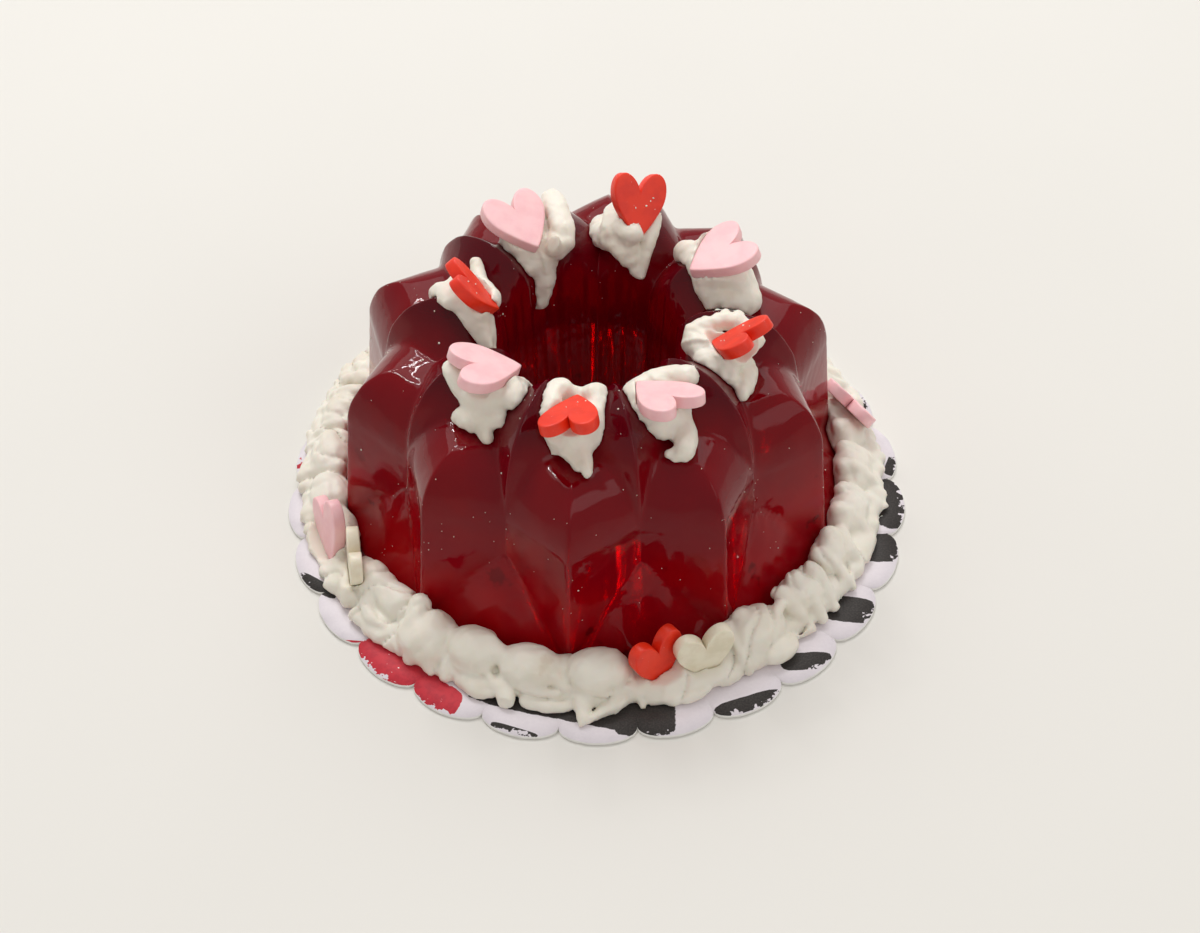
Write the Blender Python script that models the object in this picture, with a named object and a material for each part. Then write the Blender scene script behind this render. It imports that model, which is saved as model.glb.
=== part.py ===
"""A miniature moulded jelly on a scalloped card, with piped cream and heart slices.

The jelly is a cast resin ring. Ten wedge-shaped lobes stand round it, ten smaller ones
rise between them to the crown, and a flared foot fills the valleys at the bottom. A ring
of piped cream covers the joint with the card, and eight dollops sit on the crown. Each
dollop holds a heart slice, and five more hearts stand in the ring.

Sizes are in millimetres and turned into metres when a mesh is made. The card lies on
z = 0 and is centred on the origin. Azimuth 0 is the front, along -Y, and it grows
towards +X.
"""

import math

import bpy
import numpy as np
from mathutils import Matrix, Vector

MM = 0.001
GAP = 0.05  # clearance left between touching pieces

# Card
CARD_NOTCH_RADIUS = 24.05
CARD_SCALLOP_DEPTH = 1.35
CARD_SCALLOPS = 25
CARD_PHASE = -79.2  # azimuth of one notch
CARD_THICKNESS = 0.3
CARD_STEPS = 6  # sides to a scallop

# Jelly
JELLY_CENTRE = (-0.41, 2.14)  # the jelly stands a little behind the card's centre
JELLY_PHASE = -5.03  # azimuth of the front lobe
LOBES = 10
HALF = 180 / LOBES  # from a lobe's ridge to the next valley, in degrees
JELLY_FOOT = CARD_THICKNESS + GAP
FOOT_RADIUS = 20.65
# How far the raw solids reach under the foot before it is cut flat
BELOW_LOBES = 1.0
BELOW_CREST = 0.6
BELOW_FLARES = 0.8
TABLE = 40.0  # half width of the block that cuts the foot flat

LOBE_RIDGE = 19.77  # radius of a lobe's ridge where its shoulder starts
LOBE_VALLEY = 16.6
LOBE_VALLEY_SPREAD = 1.1  # how much wider the valley is at the foot
LOBE_SHOULDER = 11.5  # height where the ridge starts to curve in
LOBE_CURVE = (4.25, 5.05)  # how far the ridge curves in and up
VALLEY_CURVE = 4.6
SHOULDER_STEPS = 6
LOBE_INSIDE = 9.0

CREST_RIDGE = 16.5  # the smaller lobes, whose ridges stand over the valleys
CREST_START = 12.8
CREST_PEAK = (10.6, 20.2)  # radius and height of their top
CREST_VALLEY = 13.2
CREST_VALLEY_START = 13.0
CREST_VALLEY_PEAK = (10.4, 17.3)
CREST_DROP = 3.4  # from its peak to the rim of the hole
CREST_VALLEY_DROP = 2.9
ARCH_STEPS = 14
RISE_POWER = 0.9  # a crest rises a little faster than a circle
FALL_POWER = 0.8
CREST_TURN = 0.13  # the mould's crown is turned a little from its lobes
HOLE_RADIUS = 6.9
HOLE_VALLEY_RADIUS = 7.2
HOLE_BOTTOM_RADIUS = 6.2
HOLE_BOTTOM_SPREAD = 0.3  # the hole's bottom is this much wider between the crests

FLARE_TOP = (16.8, 8.7)  # radius and height of the point where a flare starts
FLARE_INSIDE = 12.0
FLARE_REACH = HALF - 1  # degrees to each side at the foot, and at the tip
FLARE_TIP = 1.0
FLARE_STEPS = 8
FLARE_SLOPE = (FOOT_RADIUS - FLARE_TOP[0]) / (FLARE_TOP[1] - JELLY_FOOT)

# Hearts: width and length of a slice, its thickness, and how many points go round it
HEART_SIZES = {"red": (4.55, 5.2), "pink": (5.2, 5.4), "ivory": (4.8, 4.9)}
HEART_THICKNESS = 1.0
HEART_POINTS = 24
HEART_WAVES = (13.5, -6.2, -2.4, -1.3)
HEART_POWER = (2.1, 0.5)  # its middle and its swing from the notch to the tip
STAMP = 3.0  # how far above its face a slice pressed on the crown clears the cream
STAMPING = ("heart_1", "heart_2", "heart_3", "heart_4", "heart_8")

# Name, azimuth, radius and height of the middle of the top face, the azimuth and slope
# that the face looks to, how far the slice is turned in its own plane, and its colour
HEARTS = (
    ("heart_1", -7, 11.8, 20.55, -155, 67, 34, "red"),
    ("heart_2", 28, 11.4, 20.7, -172, 70, -35, "pink"),
    ("heart_3", 69.5, 11.7, 20.7, -126, 48, 0, "red"),
    ("heart_4", 113.5, 11.0, 21.5, -80, 72, -17, "pink"),
    ("heart_5", 155.5, 9.8, 22.2, 30, 37, 22, "red"),
    ("heart_6", -147, 9.9, 21.4, 53, 70, 20, "pink"),
    ("heart_7", -91, 8.6, 21.75, 108, 36, 15, "red"),
    ("heart_8", -45.5, 10.7, 21.2, 120, 71, 14, "pink"),
    ("border_heart_1", 13.5, 22.6, 3.1, 37, 3, -6, "red"),
    ("border_heart_2", 22.4, 23.2, 3.0, 21, 1, -4, "ivory"),
    ("border_heart_3", 104, 22.9, 3.3, 124, 34, -20, "pink"),
    ("border_heart_4", -58.8, 22.6, 2.9, -81.5, 3, 0, "ivory"),
    ("border_heart_5", -69.2, 22.9, 2.7, -66, 9, -38, "pink"),
)

# Each dollop's azimuth and its lumps. A lump is its place along the crown, outwards and
# up, then its half sizes along the crown, outwards and up.
CROWN_RADIUS = 11.2
DOLLOPS = (
    (-6, ((0.0, -0.4, 19.6, 2.5, 2.3, 1.7), (-1.5, -2.2, 19.4, 1.0, 1.2, 1.1),
          (1.4, -2.1, 19.4, 1.1, 1.2, 1.1), (0.6, 1.2, 18.6, 1.4, 1.9, 1.2),
          (1.2, 2.4, 17.6, 0.7, 1.4, 1.0))),
    (29, ((0.2, -0.6, 19.8, 2.8, 2.2, 1.5), (0.2, -2.2, 19.9, 1.9, 1.2, 1.3),
          (0.8, 1.4, 18.7, 1.4, 1.5, 1.2), (0.3, 2.8, 17.5, 1.3, 1.2, 1.0))),
    (70, ((0.2, -0.6, 19.7, 2.9, 2.5, 1.6), (1.2, -2.9, 18.9, 1.3, 1.2, 1.1),
          (-0.2, 1.7, 18.4, 1.4, 1.2, 1.2), (-1.8, 0.6, 19.2, 1.3, 1.5, 1.1))),
    (116, ((-0.2, 0.0, 20.0, 3.0, 2.7, 1.9), (-0.6, -2.0, 19.2, 1.7, 1.2, 1.2),
           (-2.0, 1.6, 18.3, 1.2, 1.3, 1.2))),
    (162, ((0.2, 0.0, 19.6, 2.5, 2.3, 1.6), (-1.0, -2.3, 19.5, 1.3, 1.3, 1.2),
           (2.4, -0.3, 18.6, 1.2, 1.0, 1.0))),
    (-156, ((-0.3, 0.4, 19.7, 2.3, 2.7, 1.7), (0.2, -2.0, 18.9, 1.4, 1.2, 1.3),
            (0.4, -3.2, 17.6, 0.8, 1.1, 1.4))),
    (-100, ((0.2, -0.5, 19.7, 2.5, 2.2, 1.5), (1.5, -2.8, 18.7, 1.2, 1.3, 1.2),
            (-2.3, 0.5, 19.4, 1.3, 1.1, 1.0), (0.6, 1.5, 19.2, 1.2, 1.2, 0.9))),
    (-45, ((0.0, -0.5, 19.6, 2.8, 2.4, 1.7), (-0.3, 1.0, 18.8, 1.9, 1.3, 1.2),
           (2.2, -0.9, 19.3, 1.2, 1.2, 1.0), (-0.2, 1.6, 17.9, 1.0, 0.9, 1.0))),
)

# The piped ring: a low bead all round, with shells on it
BEAD_RADIUS = 21.6
BEAD_HEIGHT = 1.0
BEAD_HALF = (1.4, 1.3)
SHELL_AZIMUTHS = (-51, -36, -23, -11, 2, 18, 36, 50, 61, 72, 85.5, 99, 112, 124, 137,
                  150, 163, 176, 189, 202, 215, 228, 241, 254, 267, 286)
SHELL_RADIUS = 22.2
SHELL_COLUMNS = 6
RING_STEPS = 11
RING_LIMIT = 24.7  # how far from the card's centre the cream may reach
SHELL_HALF = (2.9, 1.9, 2.6)  # along the ring, outwards and up
FOLD_RADIUS = 24.0  # the fold that a shell throws out over the card
FOLD_HALF = (2.3, 1.3, 1.25)
FLAT_SHELL = 5  # the shell pressed flat under two of the hearts
FLAT_LUMPS = ((0, 0.6, 0.9, 4.2, 2.3, 0.9), (0.5, 1.9, 0.6, 3.0, 1.4, 0.6))
SHELL_SWAY = 2.3  # a phase from shell to shell, which makes each a little different
DOME_SWAY = 0.08
FOLD_SWAY = (0.4, 0.15)  # along, and as a share outwards
DOME_HEIGHT = 1.0
FOLD_HEIGHT = 0.7
SHELL_SPAN = 25  # degrees within which a shell can be felt
DOLLOP_GRID = (9, 14)  # rings and columns

BLACK_CARD = (0.045, 0.040, 0.038)
WHITE_CARD = (0.82, 0.78, 0.80)
RUBY = (0.30, 0.004, 0.015)
CREAM = (0.74, 0.71, 0.64)
HEART_COLOURS = {"red": (0.72, 0.035, 0.012), "pink": (0.86, 0.47, 0.50), "ivory": (0.76, 0.68, 0.50)}


def clear_scene():
    for thing in list(bpy.data.objects):
        bpy.data.objects.remove(thing)


def make_material(name, colour, roughness):
    material = bpy.data.materials.new(name)
    material.use_nodes = True
    shader = material.node_tree.nodes["Principled BSDF"]
    shader.inputs["Base Color"].default_value = (*colour, 1)
    shader.inputs["Roughness"].default_value = roughness
    shader.inputs["Metallic"].default_value = 0
    return material


def make_object(name, points, faces, material=None, smooth=False):
    mesh = bpy.data.meshes.new(name)
    mesh.from_pydata((np.asarray(points, float) * MM).tolist(), [], [list(face) for face in faces])
    mesh.validate()
    mesh.polygons.foreach_set("use_smooth", [smooth] * len(mesh.polygons))
    thing = bpy.data.objects.new(name, mesh)
    bpy.context.collection.objects.link(thing)
    if material:
        mesh.materials.append(material)
    return thing


def make_cutter(name, points, faces):
    cutter = make_object(name, points, faces)
    cutter.hide_render = True
    cutter.display_type = "WIRE"
    return cutter


def combine(thing, other, operation):
    step = thing.modifiers.new(f"{operation.title()} {other.name}", "BOOLEAN")
    step.operation = operation
    step.object = other
    step.solver = "EXACT"


def ring_point(azimuth, radius, height, centre=JELLY_CENTRE):
    angle = math.radians(azimuth)
    return (
        centre[0] + radius * math.sin(angle),
        centre[1] - radius * math.cos(angle),
        height,
    )


def grid_faces(rows, columns, close_rows=False):
    """Triangles of a grid whose columns close on themselves, seen from outside when rows go
    up. The cells are split to and fro, so that ridges stay even on both sides."""
    faces = []
    for row in range(rows if close_rows else rows - 1):
        for column in range(columns):
            a = row * columns + column
            b = row * columns + (column + 1) % columns
            c = (row + 1) % rows * columns + (column + 1) % columns
            d = (row + 1) % rows * columns + column
            if column % 2:
                faces += [(a, b, c), (a, c, d)]
            else:
                faces += [(a, b, d), (b, c, d)]
    return faces


def star_ring(rows, turn=0):
    """A closed ring lofted through stars. A row is the radius and height of the star's
    points at the lobes, then of those at the half angles, and the rows go up the outside
    and down the hole."""
    points = []
    for lobe_radius, lobe_height, half_radius, half_height in rows:
        for corner in range(2 * LOBES):
            azimuth = JELLY_PHASE + corner * HALF + turn
            if corner % 2:
                points.append(ring_point(azimuth, half_radius, half_height))
            else:
                points.append(ring_point(azimuth, lobe_radius, lobe_height))
    return points, grid_faces(len(rows), 2 * LOBES, close_rows=True)


def lobe_rows(grow):
    """The ten big lobes: upright wedges whose ridges and valleys curve in at the shoulder."""
    bottom = JELLY_FOOT - BELOW_LOBES
    rows = [(FOOT_RADIUS + grow, bottom, LOBE_VALLEY + LOBE_VALLEY_SPREAD + grow, bottom)]
    for step in range(SHOULDER_STEPS + 1):
        turn = math.radians(90 * step / SHOULDER_STEPS)
        height = LOBE_SHOULDER + (LOBE_CURVE[1] + grow) * math.sin(turn)
        ridge = LOBE_RIDGE + grow - LOBE_CURVE[0] * (1 - math.cos(turn))
        valley = LOBE_VALLEY + grow - VALLEY_CURVE * (1 - math.cos(turn))
        rows.append((ridge, height, valley, height))
    top = LOBE_SHOULDER + LOBE_CURVE[1] + grow
    rows.append((LOBE_INSIDE, top, LOBE_INSIDE, top))
    rows.append((LOBE_INSIDE, bottom, LOBE_INSIDE, bottom))
    return rows


def arch(start, peak, inner, inner_drop):
    """Radius and height along an arch that rises from start to peak and falls to inner."""
    (start_radius, start_height), (peak_radius, peak_height) = start, peak
    path = []
    for step in range(ARCH_STEPS + 1):
        turn = math.radians(180 * step / ARCH_STEPS)
        rise = math.sin(turn) ** RISE_POWER
        if turn <= math.pi / 2:
            radius = peak_radius + (start_radius - peak_radius) * math.cos(turn)
            height = start_height + (peak_height - start_height) * rise
        else:
            radius = peak_radius - (peak_radius - inner) * abs(math.cos(turn)) ** FALL_POWER
            height = peak_height - inner_drop * (1 - rise)
        path.append((radius, height))
    return path


def crest_rows(grow):
    """The ten small lobes, which make the crown and the wall of the hole."""
    bottom = JELLY_FOOT - BELOW_CREST
    valley = arch((CREST_VALLEY + grow, CREST_VALLEY_START), CREST_VALLEY_PEAK,
                  HOLE_VALLEY_RADIUS - grow, CREST_VALLEY_DROP)
    ridge = arch((CREST_RIDGE + grow, CREST_START), CREST_PEAK, HOLE_RADIUS - grow, CREST_DROP)
    rows = [(CREST_VALLEY + grow, bottom, CREST_RIDGE + grow, bottom)]
    for (valley_radius, valley_height), (ridge_radius, ridge_height) in zip(valley, ridge):
        rows.append((valley_radius, valley_height + grow, ridge_radius, ridge_height + grow))
    hole = HOLE_BOTTOM_RADIUS - grow
    rows.append((hole + HOLE_BOTTOM_SPREAD, bottom, hole, bottom))
    return rows


def flares():
    """The flared foot. In each valley an arc of the round foot shrinks to a point up the
    valley, and a ring inside the lobes joins the ten slopes into one body."""
    top_radius, top = FLARE_TOP
    bottom = JELLY_FOOT - BELOW_FLARES
    foot = FOOT_RADIUS + FLARE_SLOPE * BELOW_FLARES
    rings = [[], [], [], []]
    for valley in range(LOBES):
        azimuth = JELLY_PHASE + HALF + valley * 2 * HALF - CREST_TURN
        for step in range(FLARE_STEPS + 1):
            along = 2 * step / FLARE_STEPS - 1
            rings[0].append(ring_point(azimuth + FLARE_REACH * along, foot, bottom))
            rings[1].append(ring_point(azimuth + FLARE_TIP * along, top_radius, top))
            rings[2].append(ring_point(azimuth + FLARE_REACH * along, FLARE_INSIDE, top))
            rings[3].append(ring_point(azimuth + FLARE_REACH * along, FLARE_INSIDE, bottom))
    return sum(rings, []), grid_faces(4, len(rings[0]), close_rows=True)


def box(low, high):
    corners = [(x, y, z) for z in (low[2], high[2]) for x, y in
               ((low[0], low[1]), (high[0], low[1]), (high[0], high[1]), (low[0], high[1]))]
    return corners, [(3, 2, 1, 0), (4, 5, 6, 7)] + grid_faces(2, 4)


def jelly(material):
    body = make_object("jelly", *star_ring(lobe_rows(0)), material)
    combine(body, make_cutter("crest", *star_ring(crest_rows(0), CREST_TURN)), "UNION")
    combine(body, make_cutter("flares", *flares()), "UNION")
    under = box((-TABLE, -TABLE, -TABLE), (TABLE, TABLE, JELLY_FOOT))
    combine(body, make_cutter("under_jelly", *under), "DIFFERENCE")


def jelly_room():
    """The lobes and the crest, both a gap larger, which cut the cream that lies on them."""
    return (
        make_cutter("room_lobes", *star_ring(lobe_rows(GAP))),
        make_cutter("room_crest", *star_ring(crest_rows(GAP), CREST_TURN)),
    )


def card(material):
    """A disc whose rim is a row of half-ellipse scallops."""
    outline = []
    for scallop in range(CARD_SCALLOPS):
        for step in range(CARD_STEPS):
            along = -math.cos(math.pi * step / CARD_STEPS)
            radius = CARD_NOTCH_RADIUS + CARD_SCALLOP_DEPTH * math.sqrt(1 - along * along)
            turn = (scallop + (along + 1) / 2) * 360 / CARD_SCALLOPS
            outline.append((CARD_PHASE + turn, radius))
    count = len(outline)
    points = [
        ring_point(azimuth, radius, height, centre=(0, 0))
        for height in (0, CARD_THICKNESS)
        for azimuth, radius in outline
    ]
    faces = grid_faces(2, count)
    faces.append(list(range(count))[::-1])
    faces.append(list(range(count, 2 * count)))
    return make_object("card", points, faces, material)


def heart_outline(colour, grow):
    """x = sin t to a power that falls from the notch to the tip, and y a sum of four cosines."""
    turns = [2 * math.pi * step / HEART_POINTS for step in range(HEART_POINTS)]
    along = [sum(wave * math.cos((number + 1) * t) for number, wave in enumerate(HEART_WAVES))
             for t in turns]
    middle, reach = (max(along) + min(along)) / 2, max(along) - min(along)
    width, length = (size + 2 * grow for size in HEART_SIZES[colour])
    points = []
    for t, level in zip(turns, along):
        narrow = abs(math.sin(t)) ** (HEART_POWER[0] + HEART_POWER[1] * math.cos(t))
        across = math.copysign(narrow, math.sin(t))
        points.append((across * width / 2, (level - middle) * length / reach))
    return points


def heart_frame(azimuth, radius, height, face_azimuth, face_slope, turn):
    """The slice's own axes: x across, y from its tip to its notch, z out of its face."""
    face, slope = math.radians(face_azimuth), math.radians(face_slope)
    level = Vector((math.sin(face), -math.cos(face), 0))
    normal = level * math.cos(slope) + Vector((0, 0, math.sin(slope)))
    up = Vector((0, 0, math.cos(slope))) - level * math.sin(slope)
    turned = Matrix.Rotation(-math.radians(turn), 3, normal) @ up
    across = turned.cross(normal)
    frame = Matrix((across, turned, normal)).transposed().to_4x4()
    frame.translation = Vector(ring_point(azimuth, radius, height)) * MM
    return frame


def heart_solid(colour, grow, above=0):
    """A slice with its face on z = 0, larger all round by grow and raised by above."""
    outline = heart_outline(colour, grow)
    count = len(outline)
    points = [(x, y, z) for z in (-HEART_THICKNESS - grow, grow + above)
              for x, y in outline]
    backwards = [face[::-1] for face in grid_faces(2, count)]
    return points, [*backwards, list(range(count)), list(range(count, 2 * count))[::-1]]


def hearts(materials):
    """The slices, each with a cutter that makes its slot in the cream."""
    slots = []
    for name, *place, colour in HEARTS:
        frame = heart_frame(*place)
        slice_ = make_object(name, *heart_solid(colour, 0), materials[colour])
        slice_.matrix_world = frame
        above = STAMP if name in STAMPING else 0
        slot = make_cutter(f"{name}_slot", *heart_solid(colour, GAP, above))
        slot.matrix_world = frame
        slots.append(slot)
    return slots


def ellipsoid_reach(directions, start, centre, half):
    """How far each ray from start runs to leave an ellipsoid, or 0 where it misses."""
    scaled = directions / half
    offset = (start - centre) / half
    a = (scaled * scaled).sum(axis=-1)
    b = (scaled * offset).sum(axis=-1)
    c = (offset * offset).sum(axis=-1) - 1
    root = b * b - a * c
    return np.where(root > 0, (-b + np.sqrt(np.maximum(root, 0))) / a, 0)


def lump(lumps, rings, columns):
    """One closed skin round ellipsoids: as far as the farthest of them reaches in each
    direction from the first one's middle."""
    start = np.array(lumps[0][:3])
    polar = math.pi * (np.arange(1, rings) / rings)
    turn = -2 * math.pi * np.arange(columns) / columns  # local axes are left-handed
    grid = np.stack([
        np.outer(np.sin(polar), np.cos(turn)),
        np.outer(np.sin(polar), np.sin(turn)),
        np.outer(-np.cos(polar), np.ones(columns)),
    ], axis=-1).reshape(-1, 3)
    directions = np.vstack([grid, [0, 0, -1], [0, 0, 1]])
    reach = np.max([ellipsoid_reach(directions, start, np.array(one[:3]), np.array(one[3:]))
                    for one in lumps], axis=0)
    points = start + directions * reach[:, None]
    low, high = len(grid), len(grid) + 1
    top = (rings - 2) * columns
    faces = grid_faces(rings - 1, columns)
    faces += [(low, (i + 1) % columns, i) for i in range(columns)]
    faces += [(high, top + i, top + (i + 1) % columns) for i in range(columns)]
    return points, faces


def turned_to(points, azimuth, radius):
    """Points given along the ring, outwards and up, put at their place round the jelly."""
    angle = math.radians(azimuth)
    along = np.array([math.cos(angle), math.sin(angle)])
    outwards = np.array([math.sin(angle), -math.cos(angle)])
    flat = (np.outer(points[:, 0], along) + np.outer(points[:, 1] + radius, outwards)
            + np.array(JELLY_CENTRE))
    return np.column_stack([flat, points[:, 2]])


def dollops(material, room, slots):
    """The paste on the crown, cut by the jelly under it and by its own slice."""
    for number, (azimuth, lumps) in enumerate(DOLLOPS, 1):
        points, faces = lump(lumps, *DOLLOP_GRID)
        dollop = make_object(f"dollop_{number}", turned_to(points, azimuth, CROWN_RADIUS), faces,
                             material, smooth=True)
        for cutter in (slots[number - 1], *room):
            combine(dollop, cutter, "DIFFERENCE")


def shell_lumps(number):
    """A shell's dome against the jelly and the fold under it, each a little different."""
    if number == FLAT_SHELL:
        return FLAT_LUMPS
    uneven = math.sin(SHELL_SWAY * number)
    along, out, up = SHELL_HALF
    fold_along, fold_out, fold_up = FOLD_HALF
    return (
        (0, 0, DOME_HEIGHT, along, out, up * (1 - DOME_SWAY + DOME_SWAY * uneven)),
        (FOLD_SWAY[0] * uneven, FOLD_RADIUS - SHELL_RADIUS, FOLD_HEIGHT,
         fold_along, fold_out * (1 + FOLD_SWAY[1] * uneven), fold_up),
    )


def cream_columns():
    """Azimuths round the ring: a fixed number from each shell's middle to the next one's."""
    following = SHELL_AZIMUTHS[1:] + (SHELL_AZIMUTHS[0] + 360,)
    return np.concatenate([
        start + (end - start) * np.arange(SHELL_COLUMNS) / SHELL_COLUMNS
        for start, end in zip(SHELL_AZIMUTHS, following)
    ])


def cream_shape():
    """A ring with an uneven section. From the middle of a low bead, the section reaches
    as far as the bead or a shell's lumps, but not into the card or the jelly's foot."""
    azimuths = np.radians(cream_columns())[None, :]
    turn = 2 * math.pi * np.arange(RING_STEPS)[:, None] / RING_STEPS
    outwards, up = np.cos(turn), np.sin(turn)
    reach = 1 / np.hypot(outwards / BEAD_HALF[0], up / BEAD_HALF[1]) + 0 * azimuths
    for number, shell in enumerate(SHELL_AZIMUTHS):
        away = azimuths - math.radians(shell)
        away = (away + math.pi) % (2 * math.pi) - math.pi
        near = np.abs(away) < math.radians(SHELL_SPAN)
        start = np.stack(np.broadcast_arrays(
            BEAD_RADIUS * np.sin(away), BEAD_RADIUS * np.cos(away) - SHELL_RADIUS,
            BEAD_HEIGHT + 0 * turn), axis=-1)
        direction = np.stack(np.broadcast_arrays(
            outwards * np.sin(away), outwards * np.cos(away), up), axis=-1)
        for lump_ in shell_lumps(number):
            found = ellipsoid_reach(direction, start, np.array(lump_[:3]), np.array(lump_[3:]))
            reach = np.maximum(reach, np.where(near, found, 0))
    to_floor = (BEAD_HEIGHT - JELLY_FOOT) / np.maximum(-up, 0.001)
    reach = np.where(up < 0, np.minimum(reach, to_floor), reach)
    foot = FOOT_RADIUS + 2 * GAP - FLARE_SLOPE * (BEAD_HEIGHT - JELLY_FOOT)
    to_foot = (BEAD_RADIUS - foot) / np.maximum(-outwards - FLARE_SLOPE * up, 0.001)
    reach = np.minimum(reach, to_foot)
    radius = BEAD_RADIUS + reach * outwards
    x = JELLY_CENTRE[0] + radius * np.sin(azimuths)
    y = JELLY_CENTRE[1] - radius * np.cos(azimuths)
    pull = np.minimum(1, RING_LIMIT / np.hypot(x, y))
    points = np.stack([x * pull, y * pull, BEAD_HEIGHT + reach * up], axis=-1)
    return points.reshape(-1, 3), grid_faces(RING_STEPS, azimuths.shape[1], close_rows=True)


def cream_ring(material, room, slots):
    """The piped ring, cut by the lobes behind it and by the slices that stand in it."""
    ring = make_object("cream_ring", *cream_shape(), material, smooth=True)
    for cutter in (room, *slots):
        combine(ring, cutter, "DIFFERENCE")


def main():
    clear_scene()
    card(make_material("card", WHITE_CARD, 0.6))
    jelly(make_material("ruby resin", RUBY, 0.06))
    lobes, crest = jelly_room()
    colours = {name: make_material(f"{name} slice", colour, 0.5)
               for name, colour in HEART_COLOURS.items()}
    slots = hearts(colours)
    cream = make_material("cream", CREAM, 0.5)
    dollops(cream, (crest, lobes), slots[:len(DOLLOPS)])
    cream_ring(cream, lobes, slots[len(DOLLOPS):])


main()
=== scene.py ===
# %% [markdown]
# # A miniature moulded jelly, in materials and light
#
# This lesson dresses a small model of a dessert: a ruby jelly ring from a fluted mould, on a
# scalloped card, with piped cream and heart slices. The real one is a casting in clear
# resin about 5 cm across. The solids were made first, and this file gives each of them a
# finer surface and a finish. Nothing here moves a piece.
#
# All lengths are in millimetres until a mesh is made, because a millimetre is a size that a
# maker of miniatures can picture.

import math

import bpy
import numpy as np
from mathutils import Matrix, Vector


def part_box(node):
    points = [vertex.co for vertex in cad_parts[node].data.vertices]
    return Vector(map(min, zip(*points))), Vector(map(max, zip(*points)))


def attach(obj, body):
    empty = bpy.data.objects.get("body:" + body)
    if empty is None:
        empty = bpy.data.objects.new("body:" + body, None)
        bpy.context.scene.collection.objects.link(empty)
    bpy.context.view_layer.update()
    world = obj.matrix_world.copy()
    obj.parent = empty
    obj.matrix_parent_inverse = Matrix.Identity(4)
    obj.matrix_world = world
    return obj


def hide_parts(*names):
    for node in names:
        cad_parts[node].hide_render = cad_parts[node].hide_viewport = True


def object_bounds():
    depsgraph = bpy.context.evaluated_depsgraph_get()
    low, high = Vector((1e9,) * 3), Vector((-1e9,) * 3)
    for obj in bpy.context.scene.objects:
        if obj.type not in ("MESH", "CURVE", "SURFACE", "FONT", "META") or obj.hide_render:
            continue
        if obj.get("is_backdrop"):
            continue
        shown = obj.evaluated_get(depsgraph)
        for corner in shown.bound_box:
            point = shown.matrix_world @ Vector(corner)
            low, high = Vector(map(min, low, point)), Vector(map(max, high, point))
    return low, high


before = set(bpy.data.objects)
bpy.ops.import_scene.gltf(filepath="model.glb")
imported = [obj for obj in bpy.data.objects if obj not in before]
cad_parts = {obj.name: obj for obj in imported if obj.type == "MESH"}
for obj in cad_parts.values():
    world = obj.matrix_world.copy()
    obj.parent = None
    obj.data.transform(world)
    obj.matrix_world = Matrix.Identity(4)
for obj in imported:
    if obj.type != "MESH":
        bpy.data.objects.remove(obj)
cad_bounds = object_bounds()
MM = 0.001
print("solids:", ", ".join(sorted(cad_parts)))


# %% [markdown]
# ## Grids
#
# Every surface here is a grid of points: rows one way, columns the other. A ring closes on
# itself both ways, and a lump closes only round its columns, with a point at each end. One
# function joins the points into faces and makes the piece, so that a shape is only ever a
# formula for its points.

# %% Points to pieces
def grid_faces(rows, columns, close_rows=False):
    """Quads (r, c), (r, c+1), (r+1, c+1), (r+1, c). The columns always close."""
    last = rows if close_rows else rows - 1
    row, column = np.meshgrid(np.arange(last), np.arange(columns), indexing="ij")
    beside, above = (column + 1) % columns, (row + 1) % rows
    quads = (row * columns + column, row * columns + beside,
             above * columns + beside, above * columns + column)
    return np.stack(quads, axis=-1).reshape(-1, 4)


def make_piece(name, points, faces, node_names, slot, smooth=True):
    """A mesh from points in millimetres, that stands for the named solids."""
    mesh = bpy.data.meshes.new(name)
    mesh.from_pydata((np.asarray(points) * MM).tolist(), [], [list(face) for face in faces])
    mesh.update()
    if smooth:
        mesh.shade_smooth()
    piece = bpy.data.objects.new(name, mesh)
    bpy.context.collection.objects.link(piece)
    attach(piece, "root")
    if node_names:
        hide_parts(*node_names)
    print(f"{name}: {len(points)} points, {len(faces)} faces")
    return piece


class Stack:
    """Gathers many small closed shapes, which then make one mesh."""

    def __init__(self):
        self.points, self.faces, self.count = [], [], 0

    def add(self, points, faces):
        self.points.append(points)
        self.faces += [tuple(int(i) + self.count for i in face) for face in faces]
        self.count += len(points)

    def lump(self, grid):
        """A grid of rows between two end points: the first row and last row are each one
        point repeated, so only one of each is kept."""
        rows, columns = grid.shape[:2]
        points = np.vstack([grid[1:-1].reshape(-1, 3), grid[0, :1], grid[-1, :1]])
        low, high = len(points) - 2, len(points) - 1
        top = (rows - 3) * columns
        around = np.arange(columns)
        nearby = (around + 1) % columns
        faces = [tuple(face) for face in grid_faces(rows - 2, columns)]
        faces += list(zip([low] * columns, nearby, around))
        faces += list(zip([high] * columns, top + around, top + nearby))
        self.add(points, faces)

    def piece(self, name, node_names, slot):
        return make_piece(name, np.vstack(self.points), self.faces, node_names, slot)


# %% [markdown]
# ## Waviness
#
# A hand-made casting is never quite even. Real noise would do, but a sum of a few sine waves
# in fixed random directions is smooth, costs nothing, and gives the same result each time.

# %% Smooth noise
def wobble(points, size, seed, waves=7):
    """The mean of sin(p . k + phase), where each k has a random direction and a length near
    2 pi / size."""
    rng = np.random.default_rng(seed)
    k = rng.normal(size=(waves, 3))
    k *= (2 * math.pi / size * rng.uniform(0.7, 1.4, waves) / np.linalg.norm(k, axis=1))[:, None]
    phase = rng.uniform(0, 2 * math.pi, waves)
    return np.sin(points @ k.T + phase).mean(axis=-1) * 1.6


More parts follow.
